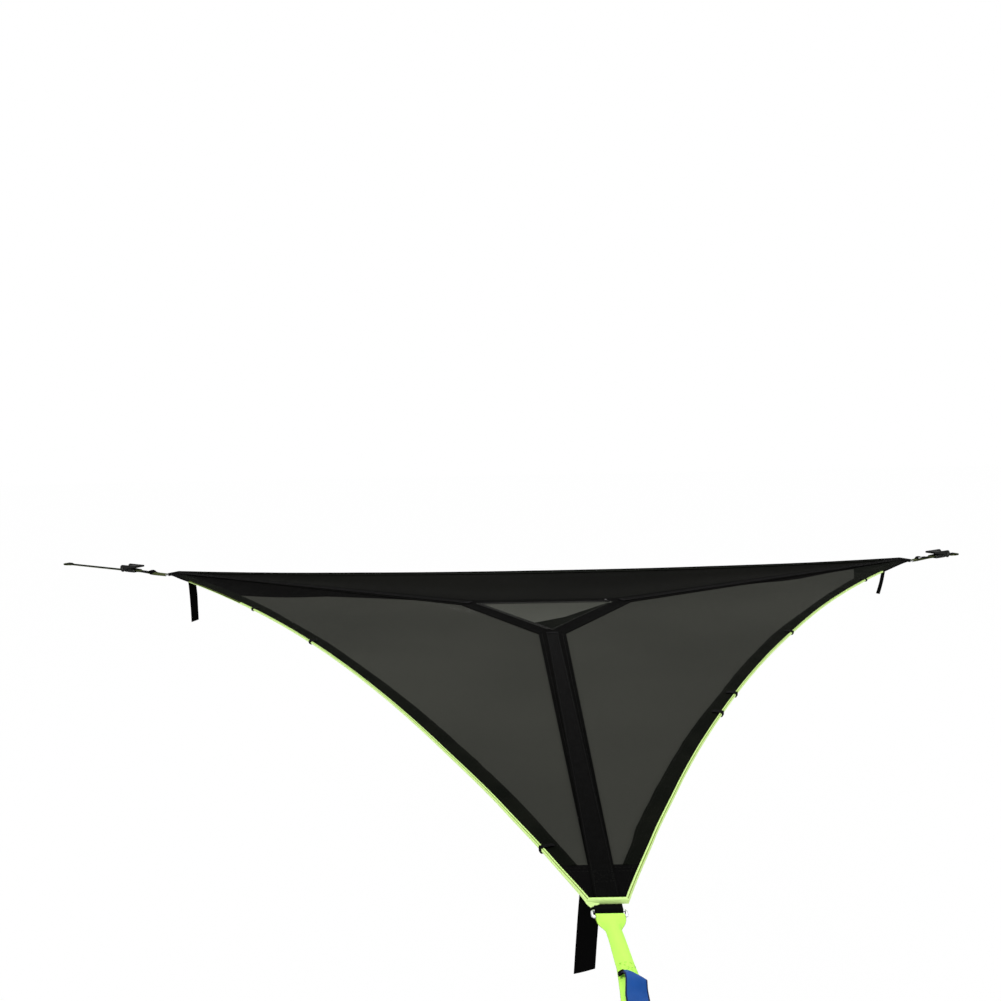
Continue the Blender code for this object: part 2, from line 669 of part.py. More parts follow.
def ratchet_bolt():
    """Through bolt with a head at each end."""
    head_in = FRAME_OUT + GAP
    head_out = head_in + BOLT_HEAD_HEIGHT
    half = [(head_in, BOLT_RADIUS), (head_in, BOLT_HEAD_RADIUS), (head_out, BOLT_HEAD_RADIUS)]
    return turned("ratchet_bolt", mirrored(half), 16)


def ratchet_spool():
    """Slotted mandrel with a saw-toothed wheel at each side and a washer at each end."""
    half = [(WASHER_IN, MANDREL_RADIUS), (WASHER_IN, WASHER_RADIUS), (WASHER_IN + WASHER_THICKNESS, WASHER_RADIUS)]
    mesh = turned("ratchet_spool", mirrored(half), 20)
    teeth = []
    for i in range(WHEEL_TEETH):
        a = math.radians(DRIVE_ANGLE + 360.0 * i / WHEEL_TEETH)
        teeth += [(r * math.cos(a), r * math.sin(a)) for r in (WHEEL_TIP, WHEEL_VALLEY)]
    for low, high in ((-WHEEL_OUT, -WHEEL_IN), (WHEEL_IN, WHEEL_OUT)):
        mesh = fused(mesh, plate("wheel", teeth, low, high))
    slot_half = TREE_WIDTH / 2.0 + HOLE_CLEARANCE
    slot = box("slot", (-2.0 * MANDREL_RADIUS, 2.0 * MANDREL_RADIUS), (-slot_half, slot_half),
               (-MANDREL_SLOT / 2.0, MANDREL_SLOT / 2.0))
    return cut(mesh, on_radius(slot, SLOT_ANGLE))


def strap_roll():
    """The strap's end through the mandrel's slot and its turns round it, with the least gap printed."""
    steps = round(ROLL_STEPS * ROLL_TURNS)
    turns = []
    for i in range(steps + 1):
        angle = ROLL_START + (360.0 * ROLL_TURNS - ROLL_START) * i / steps
        radius = ROLL_INNER + ROLL_PITCH * angle / 360.0
        turns.append((radius * math.cos(math.radians(angle)), radius * math.sin(math.radians(angle))))
    path = [(-ROLL_TUCK * MANDREL_RADIUS, 0.0), (ROLL_EXIT * MANDREL_RADIUS, 0.0),
            tuple(share * ROLL_INNER for share in ROLL_BEND)] + turns
    least = min((Vector(p) - Vector(q)).length for i, p in enumerate(turns)
                for q in turns[i + ROLL_STEPS // 2:])
    print("strap_roll: least gap between turns %.2f mm" % (1000.0 * (least - STRAP_THICKNESS)))
    return on_radius(band("strap_roll", path, STRAP_THICKNESS, TREE_WIDTH / 2.0), SLOT_ANGLE)


def ratchet_handle():
    """Two arms with a top web and a round grip, from the spool axis."""
    top = HANDLE_END_RADIUS
    end = GRIP_AT[0] - 0.2 * GRIP_SIZE[0]
    grip_low, grip_high = (GRIP_AT[1] + side * 0.3 * GRIP_SIZE[1] for side in (-1, 1))
    outline = arc((0.0, 0.0), HANDLE_END_RADIUS, -145, 90, 18)
    outline += [(HANDLE_WEB[0], top), (end, grip_high), (end, grip_low), (HANDLE_WEB[0], grip_low - ARM_CHIN),
                ARM_HEEL]
    mesh = plate("ratchet_handle", outline, -HANDLE_OUT, HANDLE_OUT)
    web_low = top - PLATE_THICKNESS
    back, reach = end - CUT_PAST, top + CUT_PAST
    inside = [(back, -reach), (back, reach), (HANDLE_WEB[0], reach), (HANDLE_WEB[0], web_low),
              (HANDLE_WEB[1], web_low), (HANDLE_WEB[1], reach), (reach, reach), (reach, -reach)]
    slot = box("slot", (DRIVE_EAR[0] - HOLE_CLEARANCE, DRIVE_EAR[1] + DRIVE_TRAVEL + HOLE_CLEARANCE),
               (-2.0 * HANDLE_OUT, 2.0 * HANDLE_OUT), (0.0, PAWL_THICKNESS + 2.0 * GAP))
    for cutter in (plate("inside", inside, -HANDLE_IN, HANDLE_IN),
                   bar("hub", (0.0, 0.0), MANDREL_RADIUS + HOLE_CLEARANCE, 2.0 * HANDLE_OUT, 24),
                   on_radius(slot, DRIVE_ANGLE)):
        mesh = cut(mesh, cutter)
    return fused(mesh, grip())


def grip():
    """Bar with a squared-off round section and softened ends."""
    sides = 16
    rings = []
    for share, size in ((-1.0, 0.82), (-0.97, 0.94), (-0.92, 1.0), (0.92, 1.0), (0.97, 0.94), (1.0, 0.82)):
        section = []
        for i in range(sides):
            a = 2.0 * math.pi * i / sides
            x, z = (math.copysign(abs(c) ** GRIP_SQUARENESS, c) for c in (math.cos(a), math.sin(a)))
            section.append((GRIP_AT[0] + size * GRIP_SIZE[0] / 2.0 * x, share * GRIP_HALF_LENGTH,
                            GRIP_AT[1] + size * GRIP_SIZE[1] / 2.0 * z))
        rings.append(section)
    return loft("grip", rings)


def pawl(name, side):
    """Plate along a radius, from one side's outline; its face lies just off a tooth's steep side."""
    outline = side + [(x, -y) for x, y in reversed(side)]
    return loft(name, [[(x, y, f) for x, y in outline] for f in (GAP, GAP + PAWL_THICKNESS)])


def finger():
    """The pawl's outline round its finger for one wheel."""
    tip_in, tip_out = WHEEL_IN + FINGER_CLEARANCE, WHEEL_OUT - FINGER_CLEARANCE
    return [(PAWL_BODY, tip_in), (PAWL_TIP, tip_in), (PAWL_TIP, tip_out)]


def drive_pawl():
    """Pawl of the handle, with an upturned finger tab and an ear in each arm's slot."""
    tip_out, ear_out = WHEEL_OUT - FINGER_CLEARANCE, HANDLE_OUT - GAP
    side = finger() + [(DRIVE_EAR[0], tip_out), (DRIVE_EAR[0], ear_out), (DRIVE_EAR[1], ear_out),
                       (DRIVE_EAR[1], tip_out), (DRIVE_EAR[1] + PAWL_THICKNESS, tip_out), (DRIVE_END, TAB_HALF_WIDTH)]
    inset = FINGER_CLEARANCE  # keeps the tab's faces off the plate's
    tab = box("tab", (DRIVE_END - PAWL_THICKNESS, DRIVE_END + inset), (inset - TAB_HALF_WIDTH, TAB_HALF_WIDTH - inset),
              (-TAB_RISE, GAP + PAWL_THICKNESS - inset))
    return on_radius(fused(pawl("drive_pawl", side), tab), DRIVE_ANGLE)


def lock_pawl():
    """Pawl of the frame, through both side plates."""
    side = finger() + [(LOCK_END, WHEEL_OUT - FINGER_CLEARANCE)]
    return on_radius(pawl("lock_pawl", side), LOCK_ANGLE)


def tree_strap(corner):
    """Strap off the roll and out to the tree, ending in a sewn eye, from the spool axis."""
    z = -ARC_RADIUS
    end = TREE_STRAP[corner]
    eye = end - EYE_LENGTH
    back = z - STRAP_THICKNESS - 2.0 * GAP
    path = arc((0.0, 0.0), ARC_RADIUS, -90 - ARC_SPAN, -90, 6)
    path += row((0.0, z), (eye - EYE_TAPER, z), 4)[1:]
    path += [(eye - EYE_TAPER, z), (eye, z + EYE_HALF_HEIGHT)]
    path += arc((end - EYE_HALF_HEIGHT - STRAP_THICKNESS / 2.0, z), EYE_HALF_HEIGHT, 90, -90, 8)
    path += [(eye, z - EYE_HALF_HEIGHT), (eye - EYE_TAPER, back), (eye - EYE_TAPER - EYE_LAP, back)]
    return band("tree_strap_" + corner, path, STRAP_THICKNESS, TREE_WIDTH / 2.0)


def tail(corner):
    """Spare webbing that hangs from the seam, wide in X, from the middle of its top edge."""
    length, lean, slant = TAILS[corner][2:]
    half = STRAP_THICKNESS / 2.0

    def section(shift, curve, drop, tilt, depth):
        corners = ((-1, -1), (1, -1), (1, 1), (-1, 1))
        return [(x * TAIL_WIDTH / 2.0 + shift, y * depth + curve, drop + tilt * x) for x, y in corners]

    rings = [section(0.0, 0.0, 0.85 * half, 0.0, 0.5 * half)]
    for i in range(TAIL_STEPS + 1):
        share = i / TAIL_STEPS
        curve = TAIL_CURVE * math.sin(math.pi * share)
        rings.append(section(lean * share, curve, -length * share, slant * share / 2.0, half))
    return loft("tail_" + corner, rings)


# Objects

def add(name, mesh, colour, roughness, metallic=0.0, parent=None, at=(0.0, 0.0, 0.0)):
    """Put a mesh in the scene as a named piece with its own material."""
    mesh.name = name
    mesh.shade_smooth()
    mesh.set_sharp_from_angle(angle=math.radians(32.0))
    material = bpy.data.materials.new(name)
    material.use_nodes = True
    shader = material.node_tree.nodes["Principled BSDF"]
    shader.inputs["Base Color"].default_value = (*colour, 1.0)
    shader.inputs["Roughness"].default_value = roughness
    shader.inputs["Metallic"].default_value = metallic
    mesh.materials.clear()
    mesh.materials.append(material)
    obj = bpy.data.objects.new(name, mesh)
    bpy.context.collection.objects.link(obj)
    obj.location = at
    obj.parent = parent


def build_bed():
    for edge in EDGES:
        add("mesh_panel_" + edge, panel(edge), MESH_DARK if edge == "far" else MESH_PALE, 0.8)
        add("border_" + edge, border(edge), CLOTH_BLACK, 0.85)
        add("edge_webbing_" + edge, edge_webbing(edge), LIME, 0.6)
    for corner in CORNERS:
        add("seam_strip_" + corner, seam_strip(corner), CLOTH_BLACK, 0.85)
        add("corner_gusset_" + corner, gusset(corner), CLOTH_BLACK, 0.85)
    for edge, share in KEEPERS.items():
        add("edge_keeper_" + edge, keeper(edge, share), CLOTH_BLACK, 0.8)


def build_hatch():
    add("hatch_frame", hatch_frame(), CLOTH_BLACK, 0.85)
    start, end = hatch_side("right")[:2]
    hinge = Vector(((start.x + end.x) / 2.0, (start.y + end.y) / 2.0, BAND_THICKNESS))
    flap = hatch_flap()
    for vertex in flap.vertices:
        vertex.co -= hinge
    add("hatch_flap", flap, MESH_PALE, 0.7, at=hinge)
    add("zip_tape", zip_tape(), CLOTH_BLACK, 0.6)
    start, end, out = hatch_side("far")
    place = start + (end - start).normalized() * (ZIP_END + SLIDER_LENGTH) + out * (ZIP_WIDTH / 2.0 + GAP)
    add("zip_slider", zip_slider(), BARE_STEEL, 0.35, 1.0,
        at=(place.x, place.y, BAND_THICKNESS + 2.0 * GAP + ZIP_THICKNESS))


def build_corner(corner):
    tip = plan(corner, TIP)
    empty = bpy.data.objects.new("corner_" + corner, None)
    bpy.context.collection.objects.link(empty)
    empty.location = (tip.x, tip.y, 0.0)
    empty.rotation_euler.z = math.radians(CORNERS[corner])
    inner_bar, outer_bar = (INNER_BAR, 0.0, STRAP_Z), (OUTER_BAR, 0.0, STRAP_Z)
    bolt = (SLING_LENGTH[corner], 0.0, STRAP_Z)
    spool = (SLING_LENGTH[corner] + BOLT_TO_SPOOL, 0.0, SPOOL_Z)
    for name, mesh, colour, roughness, metallic, at in (
            ("ring_loop", ring_loop(), CLOTH_BLACK, 0.8, 0.0, (0.0, 0.0, 0.0)),
            ("ring", ring(), BARE_STEEL, 0.3, 1.0, inner_bar),
            ("sling", sling(corner), LIME, 0.6, 0.0, outer_bar),
            ("sling_label", sling_label(corner), LABEL_BLUE, 0.55, 0.0, outer_bar),
            ("ratchet_frame", ratchet_frame(), METAL_BLACK, 0.45, 0.0, bolt),
            ("ratchet_bolt", ratchet_bolt(), BARE_STEEL, 0.35, 1.0, bolt),
            ("ratchet_spool", ratchet_spool(), METAL_BLACK, 0.4, 0.0, spool),
            ("strap_roll", strap_roll(), LIME, 0.65, 0.0, spool),
            ("ratchet_handle", ratchet_handle(), METAL_BLACK, 0.5, 0.0, spool),
            ("drive_pawl", drive_pawl(), METAL_BLACK, 0.45, 0.0, spool),
            ("lock_pawl", lock_pawl(), METAL_BLACK, 0.45, 0.0, spool),
            ("tree_strap", tree_strap(corner), CLOTH_BLACK, 0.75, 0.0, spool)):
        add(name + "_" + corner, mesh, colour, roughness, metallic, empty, at)
    along, across = TAILS[corner][:2]
    top = plan(corner, TIP - along, across)
    add("tail_" + corner, tail(corner), CLOTH_BLACK, 0.85, at=(top.x, top.y, -GAP - STRAP_THICKNESS / 2.0))


for old in list(bpy.data.objects):
    bpy.data.objects.remove(old)
build_bed()
build_hatch()
for corner_name in CORNERS:
    build_corner(corner_name)
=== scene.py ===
from math import copysign, cos, exp, pi, radians, sin, sqrt, tan
import bmesh
import bpy
from mathutils import Matrix, Vector, noise
from mathutils.bvhtree import BVHTree


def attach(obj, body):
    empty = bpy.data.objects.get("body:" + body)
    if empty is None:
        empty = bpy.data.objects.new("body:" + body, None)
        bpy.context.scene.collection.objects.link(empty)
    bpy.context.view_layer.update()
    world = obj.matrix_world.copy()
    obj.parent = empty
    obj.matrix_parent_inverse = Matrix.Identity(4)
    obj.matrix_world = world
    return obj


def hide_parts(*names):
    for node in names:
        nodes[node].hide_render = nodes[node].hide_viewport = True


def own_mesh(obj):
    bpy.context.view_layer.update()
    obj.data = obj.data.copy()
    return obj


# Triangle hammock: the looks of the mesh bed and its three ratchet straps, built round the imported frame

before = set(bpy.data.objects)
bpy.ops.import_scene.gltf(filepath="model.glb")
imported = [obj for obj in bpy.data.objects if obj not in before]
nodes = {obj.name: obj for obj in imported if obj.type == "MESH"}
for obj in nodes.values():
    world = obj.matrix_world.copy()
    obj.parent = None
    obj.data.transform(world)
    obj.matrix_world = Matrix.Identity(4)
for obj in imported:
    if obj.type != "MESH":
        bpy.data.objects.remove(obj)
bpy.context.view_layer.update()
print("frame loaded with", len(nodes), "nodes")


# Camera, floor and light

cameraPlace = {
    "location": (-0.1581, -3.8120, 0.8370),
    "yaw": -0.467, "pitch": 5.452, "roll": 1.157,  # degrees; the pitch looks down
    "lens": 33.03, "sensor": 36.0,
}


def aimCamera(place):
    yaw, pitch, roll = (radians(place[k]) for k in ("yaw", "pitch", "roll"))
    forward = Vector((sin(yaw) * cos(pitch), cos(yaw) * cos(pitch), -sin(pitch)))
    right = Vector((cos(yaw), -sin(yaw), 0.0))
    down = forward.cross(right)
    rolledRight = right * cos(roll) + down * sin(roll)
    rolledDown = down * cos(roll) - right * sin(roll)
    data = bpy.data.cameras.new("camera")
    data.lens, data.sensor_width, data.sensor_fit = place["lens"], place["sensor"], "HORIZONTAL"
    data.clip_end = 200.0
    camera = bpy.data.objects.new("camera", data)
    turn = Matrix((rolledRight, -rolledDown, -forward)).transposed().to_4x4()
    camera.matrix_world = Matrix.Translation(place["location"]) @ turn
    bpy.context.collection.objects.link(camera)
    bpy.context.scene.camera = camera


studio = {
    "floorHeight": -1.45, "floorSize": 60.0, "floorColour": (0.86, 0.86, 0.85),
    "floorWhite": 0.99,  # share of plain white that the camera sees in the floor
    "ambient": 0.62,
    "lamps": {  # place, aim, size, watts
        "key": ((-3.6, -4.6, 5.4), (0.0, -0.4, 0.0), 4.5, 430.0),
        "fill": ((4.8, -3.2, 3.4), (0.2, -0.2, 0.0), 4.5, 190.0),
        "back": ((0.5, 5.2, 4.6), (0.0, 0.4, 0.0), 4.5, 170.0),
    },
}


def plainRays(tree):
    # 1 for the rays that should meet plain white: from the camera, a mirror or through glass
    path = tree.nodes.new("ShaderNodeLightPath")
    either = path.outputs["Is Camera Ray"]
    for name in ("Is Glossy Ray", "Is Transmission Ray"):
        either = mathNode(tree, "MAXIMUM", either, path.outputs[name])
    return either


def mathNode(tree, operation, first, second=None, clamp=False):
    node = tree.nodes.new("ShaderNodeMath")
    node.operation, node.use_clamp = operation, clamp
    for socket, value in zip(node.inputs, (first, second)):
        if value is None:
            continue
        if isinstance(value, (int, float)):
            socket.default_value = value
        else:
            tree.links.new(value, socket)
    return node.outputs[0]


def buildStudio():
    world = bpy.data.worlds.new("studio")
    bpy.context.scene.world = world
    world.use_nodes = True
    tree = world.node_tree
    background = tree.nodes["Background"]
    background.inputs["Color"].default_value = (1.0, 1.0, 1.0, 1.0)
    seen = mathNode(tree, "MULTIPLY", plainRays(tree), 1.0 - studio["ambient"])
    tree.links.new(mathNode(tree, "ADD", seen, studio["ambient"]), background.inputs["Strength"])

    half = studio["floorSize"] / 2.0
    mesh = bpy.data.meshes.new("floor")
    square = [(-half, -half, 0), (half, -half, 0), (half, half, 0), (-half, half, 0)]
    mesh.from_pydata(square, [], [(0, 1, 2, 3)])
    floor = bpy.data.objects.new("floor", mesh)
    floor.location.z = studio["floorHeight"]
    bpy.context.collection.objects.link(floor)
    material = bpy.data.materials.new("floor")
    material.use_nodes = True
    tree = material.node_tree
    shader = tree.nodes["Principled BSDF"]
    shader.inputs["Base Color"].default_value = (*studio["floorColour"], 1.0)
    shader.inputs["Roughness"].default_value = 0.9
    shader.inputs["Specular IOR Level"].default_value = 0.1
    white = tree.nodes.new("ShaderNodeEmission")
    mix = tree.nodes.new("ShaderNodeMixShader")
    tree.links.new(mathNode(tree, "MULTIPLY", plainRays(tree), studio["floorWhite"]), mix.inputs[0])
    tree.links.new(shader.outputs[0], mix.inputs[1])
    tree.links.new(white.outputs[0], mix.inputs[2])
    tree.links.new(mix.outputs[0], tree.nodes["Material Output"].inputs["Surface"])
    mesh.materials.append(material)

    for name, (place, aim, size, power) in studio["lamps"].items():
        light = bpy.data.lights.new(name, "AREA")
        light.size, light.energy = size, power
        lamp = bpy.data.objects.new(name, light)
        lamp.location = place
        lamp.rotation_euler = (Vector(aim) - Vector(place)).to_track_quat("-Z", "Y").to_euler()
        bpy.context.collection.objects.link(lamp)


aimCamera(cameraPlace)
buildStudio()
bpy.context.scene.view_settings.view_transform = "Standard"
print("camera and studio ready")


# Materials: the cloth ones read the map "cloth", in metres across and along the weave

paint = {}


def colourMix(tree, factor, first, second, blend="MIX"):
    node = tree.nodes.new("ShaderNodeMix")
    node.data_type, node.blend_type = "RGBA", blend
    for socket, value in ((node.inputs[0], factor), (node.inputs[6], first), (node.inputs[7], second)):
        if isinstance(value, (int, float)):
            socket.default_value = value
        elif isinstance(value, tuple):
            socket.default_value = (*value, 1.0)
        else:
            tree.links.new(value, socket)
    return node.outputs[2]


def spots(tree, place, scale, detail=2.0):
    node = tree.nodes.new("ShaderNodeTexNoise")
    node.inputs["Scale"].default_value = scale
    node.inputs["Detail"].default_value = detail
    tree.links.new(place, node.inputs["Vector"])
    return node.outputs[0]


def stretchSteps(tree, value, low, high):
    # 0 below low, 1 above high and smooth between
    node = tree.nodes.new("ShaderNodeMapRange")
    node.interpolation_type = "SMOOTHSTEP"
    node.inputs["From Min"].default_value = low
    node.inputs["From Max"].default_value = high
    tree.links.new(value, node.inputs["Value"])
    return node.outputs[0]


def scaled(tree, value, times, plus=0.0, clamp=False):
    return mathNode(tree, "ADD", mathNode(tree, "MULTIPLY", value, times), plus, clamp)


def wave(tree, value, period):
    # sine of a place in metres, from -1 to 1
    return mathNode(tree, "SINE", mathNode(tree, "MULTIPLY", value, 2.0 * pi / period))


def newMaterial(name, roughness, specular, metallic=0.0):
    material = paint[name] = bpy.data.materials.new(name)
    material.use_nodes = True
    tree = material.node_tree
    shader = tree.nodes["Principled BSDF"]
    shader.inputs["Roughness"].default_value = roughness
    shader.inputs["Specular IOR Level"].default_value = specular
    shader.inputs["Metallic"].default_value = metallic
    return tree, shader


def dress(tree, shader, colour, height=None, depth=0.0):
    # a colour, and a bump from a height
    tree.links.new(colour, shader.inputs["Base Color"])
    if height is not None:
        bump = tree.nodes.new("ShaderNodeBump")
        bump.inputs["Distance"].default_value = depth
        tree.links.new(height, bump.inputs["Height"])
        tree.links.new(bump.outputs[0], shader.inputs["Normal"])


def clothPlaces(tree):
    # the map's own vector, then across and along
    uv = tree.nodes.new("ShaderNodeUVMap")
    uv.uv_map = "cloth"
    split = tree.nodes.new("ShaderNodeSeparateXYZ")
    tree.links.new(uv.outputs[0], split.inputs[0])
    return uv.outputs[0], split.outputs[0], split.outputs[1]


def solidPlace(tree):
    return tree.nodes.new("ShaderNodeTexCoord").outputs["Object"]


webbings = {  # colour, shade between yarns, edge colour, half width, edge band, yarn across and along, gloss
    "limeWebbing": dict(colour=(0.52, 0.95, 0.135), shade=(0.36, 0.72, 0.075), edge=(0.24, 0.36, 0.05),
                        half=0.025, band=0.0012, across=0.0021, along=0.0017, gloss=0.12),
    # painted shade: the far corners' slings are the lime webbing, painted dark olive as if in shade
    "farWebbing": dict(colour=(0.060, 0.074, 0.026), shade=(0.030, 0.036, 0.013), edge=(0.022, 0.028, 0.009),
                       half=0.025, band=0.0012, across=0.0021, along=0.0017, gloss=0.04),
    "limeEdging": dict(colour=(0.64, 0.86, 0.33), shade=(0.46, 0.65, 0.21), edge=(0.46, 0.65, 0.21),
                       half=0.2, band=0.001, across=0.0016, along=0.0014, gloss=0.10),
    "blackWebbing": dict(colour=(0.0022, 0.0022, 0.0024), shade=(0.0007, 0.0007, 0.0008),
                         edge=(0.0008, 0.0008, 0.0008), half=0.025, band=0.0014, across=0.0022, along=0.0018,
                         gloss=0.02),
    "treeWebbing": dict(colour=(0.0060, 0.0062, 0.0050), shade=(0.0016, 0.0016, 0.0014),
                        edge=(0.050, 0.070, 0.014), half=0.019, band=0.0030, across=0.0022, along=0.0018,
                        gloss=0.02),
    "tailWebbing": dict(colour=(0.0022, 0.0022, 0.0022), shade=(0.0010, 0.0010, 0.0010),
                        edge=(0.0010, 0.0010, 0.0010), half=0.019, band=0.0012, across=0.0020, along=0.0018,
                        gloss=0.01),
    "seamWebbing": dict(colour=(0.0014, 0.0014, 0.0013), shade=(0.0006, 0.0006, 0.0006),
                        edge=(0.0006, 0.0006, 0.0005), half=0.0225, band=0.0014, across=0.0021, along=0.0018,
                        gloss=0.01),
}


def webbingMaterial(name, look):
    # flat webbing: a zigzag of yarns, with a tighter selvedge at each side
    tree, shader = newMaterial(name, 0.8, look["gloss"])
    place, across, along = clothPlaces(tree)
    chevron = mathNode(tree, "ABSOLUTE", wave(tree, across, look["across"] * 8.0))
    slanted = scaled(tree, chevron, look["along"] * 1.2, along)
    rib = mathNode(tree, "MULTIPLY", wave(tree, across, look["across"]), wave(tree, slanted, look["along"]))
    yarn = scaled(tree, rib, 0.5, 0.5)
    tone = scaled(tree, yarn, 0.75, mathNode(tree, "MULTIPLY", spots(tree, place, 18.0), 0.45), clamp=True)
    colour = colourMix(tree, tone, look["shade"], look["colour"])
    rim = look["half"] - look["band"]
    selvedge = stretchSteps(tree, mathNode(tree, "ABSOLUTE", across), rim - 0.0003, rim + 0.0003)
    dress(tree, shader, colourMix(tree, selvedge, colour, look["edge"]), yarn, 0.0004)
    tree.links.new(scaled(tree, spots(tree, place, 60.0), 0.2, 0.68), shader.inputs["Roughness"])


meshes = {  # two tones of the yarn, size of a hole's cell, share of the cell that is open
    # painted light: the near panels' black mesh is given a grey that stands for light seen through it
    "paleMesh": dict(colour=(0.0300, 0.0308, 0.0262), dust=(0.0368, 0.0376, 0.0318), cell=0.0024, open=0.010),
    "darkMesh": dict(colour=(0.0024, 0.0025, 0.0020), dust=(0.0042, 0.0044, 0.0034), cell=0.0024, open=0.001),
    # painted light: the flap's mesh is paler than the panels', as it faces the light differently
    "flapMesh": dict(colour=(0.052, 0.054, 0.046), dust=(0.066, 0.068, 0.058), cell=0.0020, open=0.014),
}


def meshMaterial(name, look):
    # knitted mesh: rows of round holes in a square grid
    tree, shader = newMaterial(name, 0.9, 0.01)
    place, across, along = clothPlaces(tree)
    weave = mathNode(tree, "MULTIPLY", *(wave(tree, value, look["cell"] * 2.0) for value in (along, across)))
    ring = mathNode(tree, "ABSOLUTE", weave)  # 1 in the middle of a cell
    edge = 1.0 - 0.5 * pi * look["open"]
    hole = stretchSteps(tree, ring, edge - 0.02, edge + 0.02)
    cloud = stretchSteps(tree, spots(tree, place, 0.9), 0.3, 0.7)
    # painted shade: thread darkens the yarn in and round each hole, and also gives the bump's height
    thread = scaled(tree, stretchSteps(tree, ring, edge - 0.5, edge), -0.75, 1.0)  # darker round the hole
    colour = colourMix(tree, 1.0, colourMix(tree, cloud, look["colour"], look["dust"]), thread, "MULTIPLY")
    dress(tree, shader, colour, thread, 0.0005)
    tree.links.new(mathNode(tree, "SUBTRACT", 1.0, hole), shader.inputs["Alpha"])


cloths = {  # plain woven polyester: two tones, and the rib's spacing
    "borderCloth": dict(low=(0.0026, 0.0032, 0.0022), high=(0.0046, 0.0052, 0.0036), rib=0.0011),
    "stripCloth": dict(low=(0.0004, 0.0004, 0.0003), high=(0.0010, 0.0010, 0.0008), rib=0.0011),
    "gussetCloth": dict(low=(0.0012, 0.0012, 0.0012), high=(0.0022, 0.0021, 0.0022), rib=0.0012),
}


def clothMaterial(name, look):
    tree, shader = newMaterial(name, 0.9, 0.01)
    place, across, along = clothPlaces(tree)
    rib = mathNode(tree, "MULTIPLY", wave(tree, across, look["rib"]), wave(tree, along, look["rib"] * 0.8))
    cloud = stretchSteps(tree, spots(tree, place, 7.0, 4.0), 0.35, 0.7)
    height = scaled(tree, rib, 0.5, mathNode(tree, "MULTIPLY", spots(tree, place, 140.0), 1.2))
    dress(tree, shader, colourMix(tree, cloud, look["low"], look["high"]), height, 0.0004)


threads = {
    "blackThread": (0.010, 0.010, 0.009), "greyThread": (0.060, 0.060, 0.055),
    # the olive entry is no thread: it colours the edging's groove faces as painted shade
    "paleThread": (0.20, 0.20, 0.19), "oliveThread": (0.24, 0.33, 0.060),
    "limeThread": (0.34, 0.62, 0.075), "navyThread": (0.006, 0.016, 0.07),
}


def threadMaterial(name, colour):
    # twisted sewing thread
    tree, shader = newMaterial(name, 0.7, 0.05)
    place, across, along = clothPlaces(tree)
    tone = scaled(tree, wave(tree, mathNode(tree, "ADD", along, across), 0.0009), 0.3, 0.6)
    dress(tree, shader, colourMix(tree, tone, tuple(0.35 * c for c in colour), colour))


labelLook = {"face": (0.0080, 0.078, 0.33), "shade": (0.0050, 0.058, 0.26), "border": (0.0012, 0.0060, 0.045),
             "half": 0.0224, "borderWidth": 0.0032}


def labelMaterial(look):
    # bare woven satin label with a navy border along each side
    tree, shader = newMaterial("labelCloth", 0.55, 0.12)
    place, across, along = clothPlaces(tree)
    rib = wave(tree, along, 0.0008)
    tone = scaled(tree, rib, 0.2, spots(tree, place, 45.0, 3.0), clamp=True)
    face = colourMix(tree, tone, look["shade"], look["face"])
    inner = look["half"] - look["borderWidth"]
    edge = stretchSteps(tree, mathNode(tree, "ABSOLUTE", across), inner, inner + 0.0006)
    dress(tree, shader, colourMix(tree, edge, face, look["border"]), rib, 0.0002)


metals = {
    "blackEnamel": dict(colour=(0.0028, 0.0029, 0.0024), worn=(0.022, 0.022, 0.019), rough=0.6, metallic=0.0,
                        wear=0.3),
    "platedSteel": dict(colour=(0.50, 0.51, 0.52), worn=(0.68, 0.68, 0.68), rough=0.30, metallic=1.0,
                        wear=0.35),
    "darkSteel": dict(colour=(0.024, 0.025, 0.022), worn=(0.12, 0.12, 0.11), rough=0.5, metallic=0.6,
                      wear=0.4),
}


def metalMaterial(name, look):
    # plated or enamelled plate: fine scratches, and bare metal where edges and high spots have rubbed
    tree, shader = newMaterial(name, look["rough"], 0.12, look["metallic"])
    place = solidPlace(tree)
    bevel = tree.nodes.new("ShaderNodeBevel")
    bevel.inputs["Radius"].default_value = 0.0012
    geometry = tree.nodes.new("ShaderNodeNewGeometry")
    dot = tree.nodes.new("ShaderNodeVectorMath")
    dot.operation = "DOT_PRODUCT"
    tree.links.new(bevel.outputs[0], dot.inputs[0])
    tree.links.new(geometry.outputs["Normal"], dot.inputs[1])
    edge = mathNode(tree, "SUBTRACT", 1.0, dot.outputs["Value"])
    rubbed = mathNode(tree, "MULTIPLY", stretchSteps(tree, edge, 0.02, 0.16), look["wear"])
    rubbed = mathNode(tree, "MULTIPLY", rubbed, stretchSteps(tree, spots(tree, place, 180.0, 4.0), 0.35, 0.6))
    scuff = mathNode(tree, "MULTIPLY", stretchSteps(tree, spots(tree, place, 900.0, 5.0), 0.66, 0.74), 0.35)
    amount = mathNode(tree, "MAXIMUM", rubbed, scuff)
    grain = spots(tree, place, 420.0, 6.0)
    tree.links.new(scaled(tree, grain, 0.28, look["rough"] - 0.14), shader.inputs["Roughness"])
    dress(tree, shader, colourMix(tree, amount, look["colour"], look["worn"]), grain, 0.00008)


plastics = {  # the grips' rubber and the zip's teeth: two tones, the grain's scale, detail and depth
    "gripRubber": dict(low=(0.003, 0.003, 0.003), high=(0.010, 0.010, 0.009), rough=0.8, scale=700.0,
                       detail=4.0, depth=0.0002),
    "zipCoil": dict(low=(0.018, 0.018, 0.0168), high=(0.030, 0.030, 0.028), rough=0.6, scale=90.0,
                    detail=2.0, depth=0.0),
}


def plasticMaterial(name, look):
    tree, shader = newMaterial(name, look["rough"], 0.05)
    grain = spots(tree, solidPlace(tree), look["scale"], look["detail"])
    dress(tree, shader, colourMix(tree, grain, look["low"], look["high"]), grain if look["depth"] else None,
          look["depth"])


